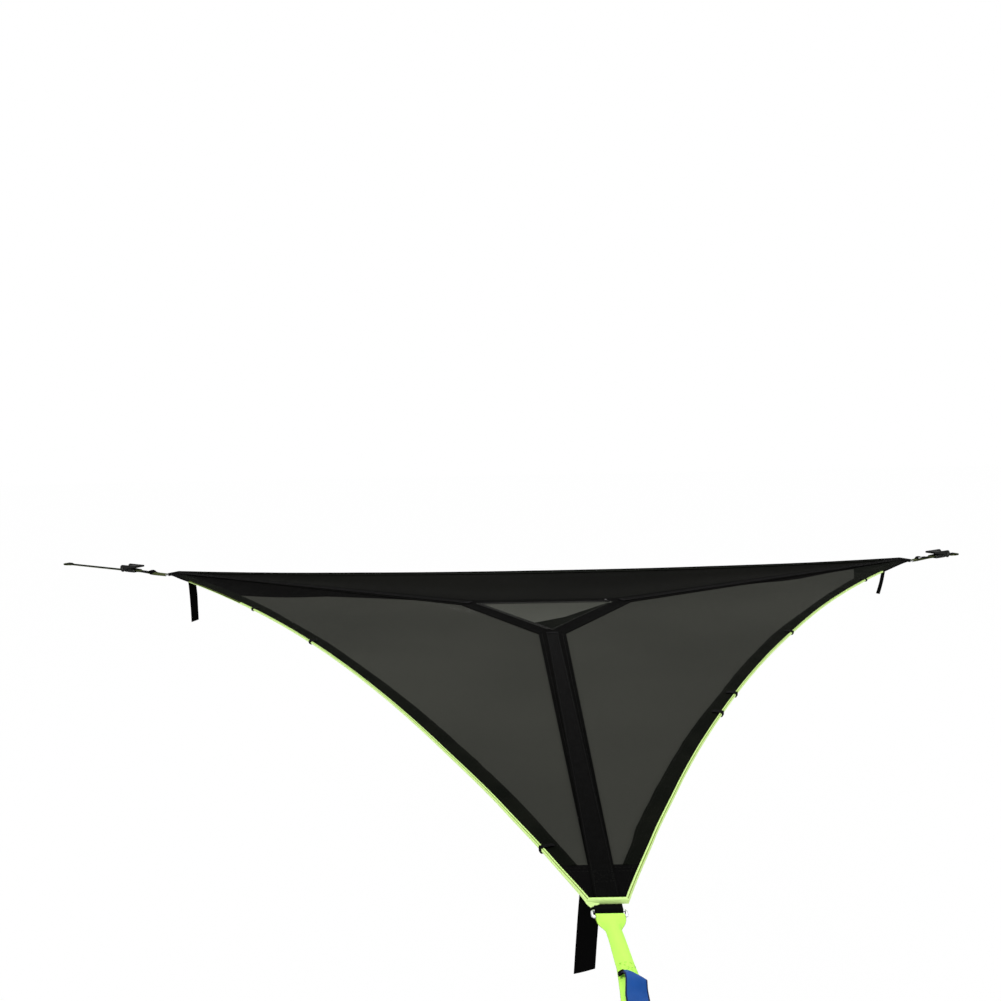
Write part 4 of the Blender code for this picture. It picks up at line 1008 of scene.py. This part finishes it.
def buildFlap():
    # mesh flap with a hem on its two free sides, and a dark sheet of painted shade over the corner at its
    # right
    look, rows, steps, low = flapLook, flapLook["rows"], flapLook["hemSteps"], bed["clothThick"]
    reach = bed["hatchRadius"] - look["smaller"]
    apex, start, end = (plan(corner, reach) for corner in ("near", "left", "right"))
    side = (end - start).length
    held = dict(slot="hatch_flap")

    def cell(i, j):
        share, across = 0.004 + 0.996 * i / rows, j / rows
        here = apex.lerp(start, share).lerp(apex.lerp(end, share), across)
        inside = min(1.0, 12.0 * min(across, 1 - across) * share, 6.0 * (1.0 - share))
        dip = look["dip"] * smooth(inside) * (0.6 + 0.8 * wrinkle(here, 5.0, 8.0))
        return lifted(here, low - max(0.0, dip)), (here.x, here.y)

    piece, _ = clothSlab("flap", rows, rows, cell, bed["meshThick"], "flapMesh", "hatch_flap",
                         stands="hatch_flap")
    lines = []
    for edge in edges:
        (a, b, _), (inA, inB, _) = (hatchSide(edge, place) for place in (reach, reach - 2.0 * look["hem"]))

        def hemCell(i, j):
            p, q = a.lerp(b, i / steps), inA.lerp(inB, i / steps)
            z = low + look["hemRise"] + (look["hemCrown"] if j in (1, 2) else 0.0)
            return lifted(p.lerp(q, j / 3.0), z), (look["hem"] * j / 3.0, (p - a).length)

        middles = [hemCell(i, 1)[0].lerp(hemCell(i, 2)[0], 0.5) for i in range(steps + 1)]
        if edge == "right":  # the hinge side has stitches only
            middles = raised(middles, -look["hemRise"])
        else:
            clothSlab("flap_hem_" + edge, steps, 3, hemCell, look["hemThick"], "stripCloth", "hatch_flap",
                      **held)
        lines.append(raised(middles))
    stitches("flap_stitch", lines, "paleThread", "hatch_flap", **held)
    marks, turn = [plan("near", *mark) for mark in look["cornerMarks"]], look["cornerTurn"]

    def cornerCell(i, j):
        share = i / look["cornerSteps"]
        p = apex.lerp(end, 0.01 + 0.93 * share)
        if share < turn:
            q = marks[0].lerp(marks[1], share / turn)
        else:
            q = marks[1].lerp(marks[2], (share - turn) / (1.0 - turn))
        p, q = p.lerp(q, 0.01), q.lerp(p, 0.02 + 0.3 * max(0.0, share - 0.9))
        return lifted(p.lerp(q, j / 6.0), low + look["cornerRise"]), ((q - p).length * j / 6.0, share * side)

    layBand("flap_corner", look["cornerSteps"], 6, cornerCell, look["cornerThick"], "borderCloth",
            "hatch_flap", under=["flap"], **held)


def buildZip():
    # two tapes and a row of interlocked teeth along the flap's two free sides
    width, end, reach = zipLook["width"], zipLook["end"], bed["hatchRadius"]
    start, bend, outFar = hatchSide("far", reach)
    bend, stop, outLeft = hatchSide("left", reach)
    start += (bend - start).normalized() * end
    stop += (bend - stop).normalized() * end
    low, steps = bed["clothThick"] + gap, zipLook["steps"]
    rails = [(start, bend, stop),
             (start + outFar * width, plan("left", reach + 2.0 * width), stop + outLeft * width)]

    def cell(i, j):
        k = min(1, i // steps)
        share = i / steps - k
        p, q = (rail[k].lerp(rail[k + 1], share) for rail in rails)
        z = low + zipLook["thick"] + (zipLook["crown"] if j == 2 else 0.0)
        return lifted(p.lerp(q, j / 4.0), z), (width * (j - 2) / 4.0, k + share)

    clothSlab("zip_band", 2 * steps, 4, cell, zipLook["thick"], "borderCloth", "bed", stands="zip_tape")
    verts, faces, flat = [], [], []
    run = [a.lerp(b, 0.5) for a, b in zip(*rails)]
    for p, q in zip(run, run[1:]):
        along = (q - p).normalized()
        side = Vector((-along.y, along.x))
        count = int((q - p).length / tooth["pitch"])
        for i in range(count):
            middle = p.lerp(q, (i + 0.5) / count) + side * (tooth["aside"] if i % 2 else -tooth["aside"])
            base = len(verts)
            for z, s in ((tooth["foot"], 1.0), (tooth["top"], tooth["narrow"])):
                for a, b in ((-1, -1), (1, -1), (1, 1), (-1, 1)):
                    here = middle + along * a * tooth["half"][0] * s + side * b * tooth["half"][1] * s
                    verts.append(lifted(here, low + z))
                    flat.append((b * 0.001, i * 0.002))
            faces += [tuple(base + k for k in f) for f in (
                (0, 3, 2, 1), (4, 5, 6, 7), (0, 1, 5, 4), (1, 2, 6, 5), (2, 3, 7, 6), (3, 0, 4, 7))]
    addPiece("zip_teeth", verts, faces, flat, "zipCoil", "bed", slot="zip_tape")


keepers = {"left": (0.305, 0.486, 0.949), "right": (0.259, 0.306, 0.515, 0.820)}
keeperLook = {"width": 0.022, "thick": 0.0011, "reach": 0.029, "narrowFrom": 0.9, "solids": (0.949, 0.259)}


def buildKeeper(edge, share):
    # a loop of webbing round the edge, with a sewn end; two of them stand for the solids
    point, along, inward = edgeFrame(edge, share)
    thick, reach = keeperLook["thick"], keeperLook["reach"]
    top, bottom = webTop + thick, -bed["webDrop"] - thick
    wide = keeperLook["width"] * (0.5 if share > keeperLook["narrowFrom"] else 1.0)
    path = softened([(reach, top - 0.0012), (reach - 0.008, top), (-0.0006, top), (-0.0012, top - 0.001),
                     (-0.0012, 0.0), (-0.0012, bottom + 0.001), (-0.0004, bottom),
                     (reach - 0.002, bottom + 0.001)])
    turn = Matrix((inward.to_3d(), along.to_3d(), Vector((0, 0, 1)))).transposed().to_4x4()
    turn = Matrix.Translation((point.x, point.y, 0.0)) @ turn
    name, slot = "keeper_%s_%d" % (edge, round(share * 1000)), "edge_keeper_" + edge
    ribbon(name, path, wide, thick, 4, "blackWebbing", "bed", place=turn, slot=slot,
           stands=slot if share in keeperLook["solids"] else None)
    half, height = wide / 2.0 - 0.003, top + 0.0007
    lines = [[(reach - x, -half, height), (reach - x, half, height)] for x in (0.010, 0.0125, 0.015)]
    stitches(name + "_tack", lines, "blackThread", "bed", place=turn, slot=slot,
             look=dict(stitch, length=0.0022, space=0.0006))


panels = {}
for edgeName in edges:
    panels[edgeName] = buildPanel(edgeName)
    buildBorder(edgeName)
    buildEdging(edgeName)
for cornerName in corners:
    buildGusset(cornerName)
    buildStrip(cornerName)
for patchName in patches:
    buildPatch(patchName)
buildHatchFrame()
buildFlap()
buildZip()
nodes["zip_slider"].material_slots[0].material = paint["blackEnamel"]
for edgeName, shares in keepers.items():
    for edgeShare in shares:
        buildKeeper(edgeName, edgeShare)
print("bed ready")


# Straps at the corners, each in its tip's own frame

strap = {
    "thick": 0.002, "width": 0.050, "treeWidth": 0.038, "loopWidth": 0.049, "loopReach": 0.100,
    "loopBox": (-0.094, -0.046, 0.019),  # where it is sewn, from and to, and half the width
    "ringWire": 0.005, "ringAt": 0.021, "ringHalfDepth": 0.009,
    "slingLength": {"near": 0.360, "right": 0.236, "left": 0.299},
    "slingTail": {"near": 0.162, "right": 0.131, "left": 0.139},
    "boltLap": 0.040, "plyGap": 0.0006, "neckShare": 0.14, "neckCurl": 100.0, "gatherLength": 0.168,
    "boltToSpool": 0.092, "spoolRise": 0.0115, "boltRadius": 0.004,
    "treeStrap": {"near": 0.160, "right": 0.114, "left": 0.553},
}
loopRadius = strap["ringWire"] / 2.0 + 0.0004 + strap["thick"] / 2.0
strapZ = -(bed["webDrop"] + gap + loopRadius + strap["thick"] / 2.0)
innerBar = strap["ringAt"] - strap["ringHalfDepth"]
outerBar = strap["ringAt"] + strap["ringHalfDepth"]
ply = (strap["thick"] + strap["plyGap"]) / 2.0
boltLoop = strap["boltRadius"] + 0.0004 + strap["thick"] / 2.0
gathered = strap["treeWidth"] / strap["width"]  # share of its width that a sling keeps from its neck on
spoolZ = strapZ + strap["spoolRise"]


def buildRingLoop(corner):
    half, reach = strap["thick"] / 2.0, strap["loopReach"]
    upper = -gap - half
    lower = upper - strap["thick"] - 2.0 * gap
    path = row((-reach, upper), (-0.024, upper), 10) + [(-0.024, upper)]
    path += softened([(-0.022, upper), (-0.014, upper - 0.0012), (-0.008, -bed["webDrop"] - gap - half),
                      (-0.004, -bed["webDrop"] - gap - half - 0.0002)])
    path += arc((innerBar, strapZ), loopRadius, 90, -90, 14)
    path += softened([(0.006, strapZ - loopRadius + 0.0001), (-0.010, lower - 0.0055),
                      (-0.026, lower - 0.0006), (-0.034, lower)])
    path += row((-0.040, lower), (-reach, lower), 8) + [(-reach, lower)]
    ribbon("ring_webbing_" + corner, path, strap["loopWidth"], strap["thick"], 8, "blackWebbing", "bed",
           place=tipMatrix(corner), stands="ring_loop_" + corner)
    stitches("ring_webbing_stitch_" + corner, boxStitch(*strap["loopBox"], lower - half - stitchLift),
             "greyThread", "bed", place=tipMatrix(corner), slot="ring_loop_" + corner)


slingLook = {"frontShift": 0.006, "frontSlant": 0.011, "crease": 0.0042, "labelShift": 0.008,
             "bow": {"near": 0.0105, "right": 0.0, "left": 0.0},
             "box": (0.034, 0.004, 0.018)}  # from and to the front ply's end, and half its width


def slingBend(corner):
    bolt = strap["slingLength"][corner] - outerBar
    frontEnd = bolt - strap["slingTail"][corner]
    neck = strap["neckShare"] * frontEnd
    start = loopRadius + strap["thick"] / 2.0 + gap
    flatFrom = bolt - strap["boltLap"]
    full = min(1.0, frontEnd / strap["gatherLength"])
    half = strap["width"] / 2.0

    def bend(v, run, front=None):
        if v.x < neck:
            amount = full * min(1.0, max(0.0, (v.x - start) / (neck - start))) ** 0.6
        else:
            amount = full * smooth((flatFrom - v.x) / (flatFrom - neck))
        side = slingLook["bow"][corner] * sin(pi * min(1.0, max(0.0, v.x / bolt))) ** 0.8
        over = (v.z > 0.0) if front is None else front
        x, y, z = v
        if over and x < frontEnd + 0.02:  # the front ply slides to one side, and ends on a slant
            below = smooth((x - neck) / (frontEnd - neck))
            x += slingLook["frontSlant"] * y / half * smooth((x - frontEnd + 0.05) / 0.05)
            z += 0.0006 * below
            y += slingLook["frontShift"] * below * (1.0 - 0.5 * amount)
            z -= slingLook["crease"] * smooth((y - 0.45 * half) / (0.5 * half)) * amount * below
        gather = 1.0 - (1.0 - gathered) * smooth((v.x - start) / (neck - start))
        if amount < 0.001:
            return Vector((x, y * gather + side, z))
        rate = radians(strap["neckCurl"]) * amount / (half * gather)
        angle = rate * y * gather
        radius = 1.0 / rate + z
        return Vector((x, radius * sin(angle) + side, radius * cos(angle) - 1.0 / rate))

    return bend


def slingPlace(corner):
    return tipMatrix(corner) @ Matrix.Translation((outerBar, 0.0, strapZ))


def buildSling(corner):
    bolt = strap["slingLength"][corner] - outerBar
    frontEnd = bolt - strap["slingTail"][corner]
    path = row((frontEnd, ply), (0.016, ply), 40) + [(0.016, ply)]
    path += softened([(0.014, ply), (0.008, ply + 0.0008), (0.002, loopRadius)])
    path += arc((0.0, 0.0), loopRadius, 90, 270, 14)
    path += softened([(0.002, -loopRadius), (0.008, -ply - 0.0008), (0.014, -ply)])
    path += row((0.016, -ply), (bolt - 0.026, -ply), 64) + [(bolt - 0.026, -ply)]
    path += softened([(bolt - 0.024, -ply), (bolt - 0.012, -0.0035), (bolt - 0.003, -boltLoop)])
    path += arc((bolt, 0.0), boltLoop, -90, 90, 14)
    path += softened([(bolt - 0.003, boltLoop), (bolt - 0.012, 0.0035), (bolt - 0.024, ply)])
    path += [(bolt - 0.026, ply), (bolt - 0.033, ply), (bolt - strap["boltLap"], ply)]
    bend = slingBend(corner)
    # the far corners' slings take the painted shade
    colour = "limeWebbing" if corner == "near" else "farWebbing"
    ribbon("sling_webbing_" + corner, path, strap["width"], strap["thick"], 14, colour, "sling_" + corner,
           place=slingPlace(corner), shape=bend, stands="sling_" + corner)
    top = ply + strap["thick"] / 2.0 + stitchLift
    first, last, half = slingLook["box"]
    lines = []
    for line in boxStitch(frontEnd - first, frontEnd - last, half, top):
        a, b = (Vector(p) for p in line)
        lines.append([bend(a.lerp(b, i / 10.0), 0.0, True) for i in range(11)])
    lines.append([bend(Vector((bolt - 0.034, y, top)), 0.0) for y in (0.02, -0.02)])
    # the far corners' stitches are painted dark with their slings' shade
    thread = "limeThread" if corner == "near" else "blackThread"
    stitches("sling_stitch_" + corner, lines, thread, "sling_" + corner, place=slingPlace(corner),
             slot="sling_" + corner)


labelShape = {  # the width is from before the sling gathers it, which leaves 0.034
    "width": 0.0447, "thick": 0.0010, "lap": 0.010, "length": 0.100, "rise": 0.010, "hump": 0.052,
    "off": 0.0007, "gather": 42.0, "ripple": 0.0012, "slantEnd": 0.06,
    "tab": ((-0.006, -0.0002), (0.001, 0.0016), (0.010, 0.0022)), "tabWidth": 0.011,
    "tabShift": (-0.002, -0.0135),
    "stitchIn": 0.002, "stitchOff": 0.0006,
    "stitch": {"length": 0.0034, "space": 0.0018, "width": 0.0007, "height": 0.0005},
}


def buildLabel(corner):
    look, bolt = labelShape, strap["slingLength"][corner] - outerBar
    start = bolt - strap["slingTail"][corner] - look["lap"]
    end = start + look["length"]
    base = ply + strap["thick"] / 2.0 + gap + look["off"]
    path = []
    for i in range(61):
        x = start + (end - start) * i / 60.0
        share = min(1.0, max(0.0, (x - start - look["lap"] / 2.0) / look["hump"]))
        path.append((x, base + look["rise"] * sin(pi * share ** 0.7) ** 2))
    bend = slingBend(corner)
    slant = slingLook["frontSlant"]

    def shape(v, run):
        x = v.x + 0.6 * slant * v.y / 0.02 * (1.0 - smooth(run / look["slantEnd"]))
        across = v.y / (1.0 + look["gather"] * max(0.0, v.z - base))
        moved = bend(Vector((x, across + slingLook["labelShift"], v.z)), run, False)
        ripple = look["ripple"] * noise.noise(Vector((x * 60.0, v.y * 40.0, 1.0)))
        return moved + Vector((0.0, 0.0, ripple))

    # painted shade: the far corners' labels are drawn in black webbing instead of the label cloth, dark like
    # their slings
    colour = "labelCloth" if corner == "near" else "blackWebbing"
    ribbon("label_" + corner, path, look["width"], look["thick"], 12, colour, "sling_" + corner,
           place=slingPlace(corner), shape=shape, stands="sling_label_" + corner)
    top, half = look["stitchOff"], look["width"] / 2.0 - look["stitchIn"]
    lines = [[shape(Vector((x, y, z + top)), x - start) for x, z in path[1:-1]] for y in (-half, half)]
    for k in (2, -3):
        x, z = path[k]
        across = (-half, -half / 3.0, half / 3.0, half)
        lines.append([shape(Vector((x, y, z + top)), x - start) for y in across])
    # the far labels' stitches are painted dark with the same shade
    thread = "navyThread" if corner == "near" else "blackThread"
    stitches("label_stitch_" + corner, lines, thread, "sling_" + corner, place=slingPlace(corner),
             look=look["stitch"], slot="sling_label_" + corner)
    # small black tab under the low side of the front ply's end
    tab = [(start + x, base + z) for x, z in look["tab"]]
    aside = Vector((*look["tabShift"], 0.0))
    ribbon("label_tab_" + corner, softened(tab), look["tabWidth"], look["thick"], 3, "blackWebbing",
           "sling_" + corner, place=slingPlace(corner), slot="sling_label_" + corner,
           shape=lambda v, run: bend(v + aside, run, False))


ratchetPaint = {"ring": "platedSteel", "ratchet_frame": "blackEnamel", "ratchet_bolt": "darkSteel",
                "ratchet_spool": "darkSteel", "ratchet_handle": "blackEnamel", "drive_pawl": "darkSteel",
                "lock_pawl": "darkSteel"}
ratchet = {
    "gripAt": (-0.107, 0.0147), "gripSize": (0.020, 0.0100), "gripHalf": 0.0275, "ribs": 9, "ribRise": 0.035,
    "handleOut": 0.0275, "frameOut": 0.0225, "driveAngle": 168.0, "lockAngle": 198.0,
    "driveSpring": (0.0445, 0.0570, 0.008), "lockSpring": (0.0345, 0.0425, 0.009),  # from, to, across
    "drivePinShort": 0.004, "lockPinShort": 0.0035, "springTurns": 6,
    "springRadius": 0.0018, "wire": 0.0004, "pin": 0.0012, "springOff": 0.0015, "springRoom": 0.0004,
    "driveTravel": 0.0055, "lockTravel": 0.0045,
}


def spoolPlace(corner):
    x = strap["slingLength"][corner] + strap["boltToSpool"]
    return tipMatrix(corner) @ Matrix.Translation((x, 0.0, spoolZ))


def buildGripSleeve(corner):
    sides, rings, places = 24, [], []
    count = ratchet["ribs"] * 4
    for i in range(count + 1):
        y = -ratchet["gripHalf"] + 2.0 * ratchet["gripHalf"] * i / count
        grow = 1.05 + ratchet["ribRise"] * (1.0 - cos(2.0 * pi * i / 4.0)) / 2.0
        if i in (0, count):
            grow = 1.01
        for k in range(sides):
            a = 2.0 * pi * k / sides
            x, z = (copysign(abs(c) ** 0.55, c) for c in (cos(a), sin(a)))
            rings.append(Vector((ratchet["gripAt"][0] + grow * ratchet["gripSize"][0] / 2.0 * x, y,
                                 ratchet["gripAt"][1] + (grow + 0.04) * ratchet["gripSize"][1] / 2.0 * z)))
            places.append((k * 0.003, y))
    addPiece("grip_sleeve_" + corner, rings, loftFaces(count + 1, sides), places, "gripRubber",
             "handle_" + corner, place=spoolPlace(corner), slot="ratchet_handle_" + corner)


def tube(name, rings, sides, *args, **extra):
    # rings of points: middle, two directions, radius and the map's place along
    verts, places = [], []
    for middle, side, up, radius, run in rings:
        for k in range(sides):
            a = 2.0 * pi * k / sides
            verts.append(middle + (side * cos(a) + up * sin(a)) * radius)
            places.append((k * 0.001, run))
    return addPiece(name, verts, loftFaces(len(rings), sides), places, *args, **extra)


def coil(name, start, end, turns, *args, **extra):
    # round wire spring between two points in the strap's frame
    along, side = (end - start).normalized(), Vector((0.0, 1.0, 0.0))
    up, steps, rings = along.cross(side), turns * 14, []
    for i in range(steps + 1):
        a = 2.0 * pi * turns * i / steps
        out = side * cos(a) + up * sin(a)
        middle = start.lerp(end, i / steps) + out * ratchet["springRadius"]
        rings.append((middle, out, along, ratchet["wire"], i * 0.001))
    return tube(name, rings, 6, *args, **extra)


def rod(name, start, end, radius, *args, **extra):
    # straight pin across a strap, with softened ends
    length, along, side = (end - start).length, (end - start).normalized(), Vector((0.0, 0.0, 1.0))
    rows = ((0.0, 0.7), (0.25 * radius, 1.0), (length - 0.25 * radius, 1.0), (length, 0.7))
    across = along.cross(side)
    rings = [(start + along * reach, side, across, radius * share, reach) for reach, share in rows]
    tube(name, rings, 12, *args, **extra)


def buildRatchet(corner):
    for node, name in ratchetPaint.items():
        nodes[node + "_" + corner].material_slots[0].material = paint[name]
    steel = dict(place=spoolPlace(corner), slot="ratchet_bolt_" + corner)
    buildGripSleeve(corner)
    for kind, body, plate in (("drive", "handle_", "handleOut"), ("lock", "ratchet_", "frameOut")):
        a = radians(ratchet[kind + "Angle"])
        along, off = Vector((cos(a), 0.0, sin(a))), Vector((-sin(a), 0.0, cos(a)))
        start, end, across = ratchet[kind + "Spring"]
        axis = tipMatrix(corner).to_3x3() @ along
        reach = Vector((0.0, ratchet[plate] - ratchet[kind + "PinShort"], 0.0))
        pinAt = along * (end + ratchet["pin"]) + off * ratchet["springOff"]
        rod("%s_pin_%s" % (kind, corner), pinAt - reach, pinAt + reach, ratchet["pin"], "platedSteel",
            body + corner, **steel)
        for side, name in ((-1, "a"), (1, "b")):
            shift = Vector((0.0, side * across, 0.0)) + off * ratchet["springOff"]
            first, last = along * start + shift, along * end + shift
            spring = coil("%s_spring_%s_%s" % (kind, name, corner), first, last, ratchet["springTurns"],
                          "platedSteel", body + corner, **steel)
            anchor = spoolPlace(corner) @ last
            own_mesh(spring)


roll = {"inner": 0.0080, "pitch": 0.0025, "turns": 1.45, "start": 15.0, "mandrel": 0.0065,
        "arcClearance": 0.0004, "arcSpan": 60.0, "arcOverlap": 12.0}
rollOuter = roll["inner"] + roll["pitch"] * roll["turns"] + strap["thick"] / 2.0
arcRadius = rollOuter + roll["arcClearance"] + strap["thick"] / 2.0
slotAngle = -90.0 - roll["arcSpan"] + roll["arcOverlap"] - 360.0 * roll["turns"]
eye = {"length": 0.040, "halfHeight": 0.0045, "taper": 0.010, "lap": 0.018, "boxHalf": 0.014}


def buildRoll(corner):
    steps = 150
    path = row((-0.8 * roll["mandrel"], 0.0), (0.94 * roll["mandrel"], 0.0), 6)
    path += softened([(0.94 * roll["mandrel"], 0.0), (0.96 * roll["inner"], 0.1 * roll["inner"]),
                      onCircle((0, 0), 0.999 * roll["inner"], roll["start"] - 2)], 1)
    for i in range(steps + 1):
        angle = roll["start"] + (360.0 * roll["turns"] - roll["start"]) * i / steps
        path.append(onCircle((0.0, 0.0), roll["inner"] + roll["pitch"] * angle / 360.0, angle))
    a = radians(slotAngle)
    path = [(x * cos(a) - z * sin(a), x * sin(a) + z * cos(a)) for x, z in path]
    ribbon("wound_strap_" + corner, path, strap["treeWidth"] - 0.0004, strap["thick"], 8, "treeWebbing",
           "spool_" + corner, place=spoolPlace(corner), stands="strap_roll_" + corner)


def buildTreeStrap(corner):
    z, end = -arcRadius, strap["treeStrap"][corner]
    eyeAt = end - eye["length"]
    neck = eyeAt - eye["taper"]
    back = z - strap["thick"] - 2.0 * gap
    half = eye["halfHeight"]
    path = arc((0.0, 0.0), arcRadius, -90 - roll["arcSpan"], -90, 18)[:-1]
    path += row((0.0, z), (neck, z), max(6, int(neck / 0.01)))
    path += softened([(neck, z), (eyeAt - 0.004, z + 0.5 * half), (eyeAt + 0.006, z + half),
                      (eyeAt + 0.020, z + half), (end - half - 0.001, z + half)])[:-1]
    path += arc((end - half - strap["thick"] / 2.0, z), half, 90, -90, 14)
    path += softened([(end - half - 0.001, z - half), (eyeAt + 0.020, z - half), (eyeAt + 0.006, z - half),
                      (eyeAt - 0.002, z - 0.7 * half), (neck, back)])[1:]
    path += row((neck - 0.002, back), (neck - eye["lap"], back), 5)
    length = ribbon("tree_webbing_" + corner, path, strap["treeWidth"], strap["thick"], 8, "treeWebbing",
                    "tree_strap_" + corner, place=spoolPlace(corner), stands="tree_strap_" + corner)
    print("tree strap", corner, "length", round(length, 3))
    top = z + strap["thick"] / 2.0 + stitchLift
    lines = boxStitch(neck - eye["lap"] + 0.002, neck - 0.002, eye["boxHalf"], top)
    stitches("tree_stitch_" + corner, lines, "blackThread", "tree_strap_" + corner, place=spoolPlace(corner),
             slot="tree_strap_" + corner)


tails = {  # sewn so far from the tip along the seam, across it and shifted in X; then its own form
    "near": dict(along=0.1065, across=-0.017, shift=0.0, length=0.193, lean=-0.0165, slant=0.010, twist=0.0,
                 haste=1.0, bow=0.0),
    "right": dict(along=0.198, across=0.0, shift=0.012, length=0.165, lean=-0.030, slant=-0.010, twist=42.0,
                  haste=5.0, bow=0.008),
    "left": dict(along=0.145, across=0.0, shift=-0.006, length=0.250, lean=0.0155, slant=0.008, twist=38.0,
                 haste=1.2, bow=0.003),
}
tailLook = {"width": 0.040, "thick": 0.0019, "curve": 0.006, "ripple": 0.0012, "cup": 0.0010, "steps": 36,
            "columns": 8}


def buildTail(corner):
    look = tails[corner]
    length = look["length"]
    top = plan(corner, tip - look["along"], look["across"])
    half = tailLook["width"] / 2.0
    section = flatSection(tailLook["width"], tailLook["thick"], tailLook["columns"], 0.5)
    verts, places = [], []
    for i in range(tailLook["steps"] + 1):
        share = i / tailLook["steps"]
        drop = length * share
        ripple = tailLook["ripple"] * noise.noise(Vector((share * 4.0, 0.0, 5.0)))
        bow = (tailLook["curve"] * sin(pi * share) + ripple) * smooth(share * 8.0)
        turn = radians(look["twist"]) * smooth(share * look["haste"])
        for x, y in section:
            cup = tailLook["cup"] * (x / half) ** 2 * smooth(share * 4.0)
            side = x * cos(turn) - (y + cup) * sin(turn) + look["shift"]
            side += look["lean"] * share + look["bow"] * sin(pi * share)
            depth = (x - half) * sin(turn) + (y + cup) * cos(turn) + bow
            verts.append((side, depth, -drop + look["slant"] * share / 2.0 * x / half))
            places.append((x, drop))
    place = Matrix.Translation((top.x, top.y, -gap - strap["thick"] / 2.0))
    faces = loftFaces(tailLook["steps"] + 1, len(section))
    piece = addPiece("tail_webbing_" + corner, verts, faces, places, "tailWebbing", "tail_" + corner,
                     stands="tail_" + corner, place=place)


cornerFold = ((0.0, -0.004, 0.001), (0.0018, -0.001, -0.0035), (0.0042, 0.006, -0.0085),
              (0.0016, 0.021, -0.0040))


def buildCornerFold():
    # the left edging's end, folded to a point below the near tip's bar; its points count from the bar's end
    outline = [(x, y - bed["cornerBar"] / 2.0, z) for x, y, z in cornerFold]
    back = [(-0.0016, y, z + 0.0012) for _, y, z in outline]
    verts = [Vector(p) for p in outline + back]
    faces = [(0, 1, 2, 3), (7, 6, 5, 4)] + [(i, (i + 1) % 4, (i + 1) % 4 + 4, i + 4) for i in range(4)]
    addPiece("corner_fold_near", verts, faces, [(p.y, p.z) for p in verts], "limeEdging", "bed",
             place=tipMatrix("near"), slot="edge_webbing_left")


for cornerName in corners:
    buildRingLoop(cornerName)
    buildSling(cornerName)
    buildLabel(cornerName)
    buildRatchet(cornerName)
    buildRoll(cornerName)
    buildTreeStrap(cornerName)
    buildTail(cornerName)
    print("strap ready at the", cornerName, "corner")
buildCornerFold()

print("pieces ready")
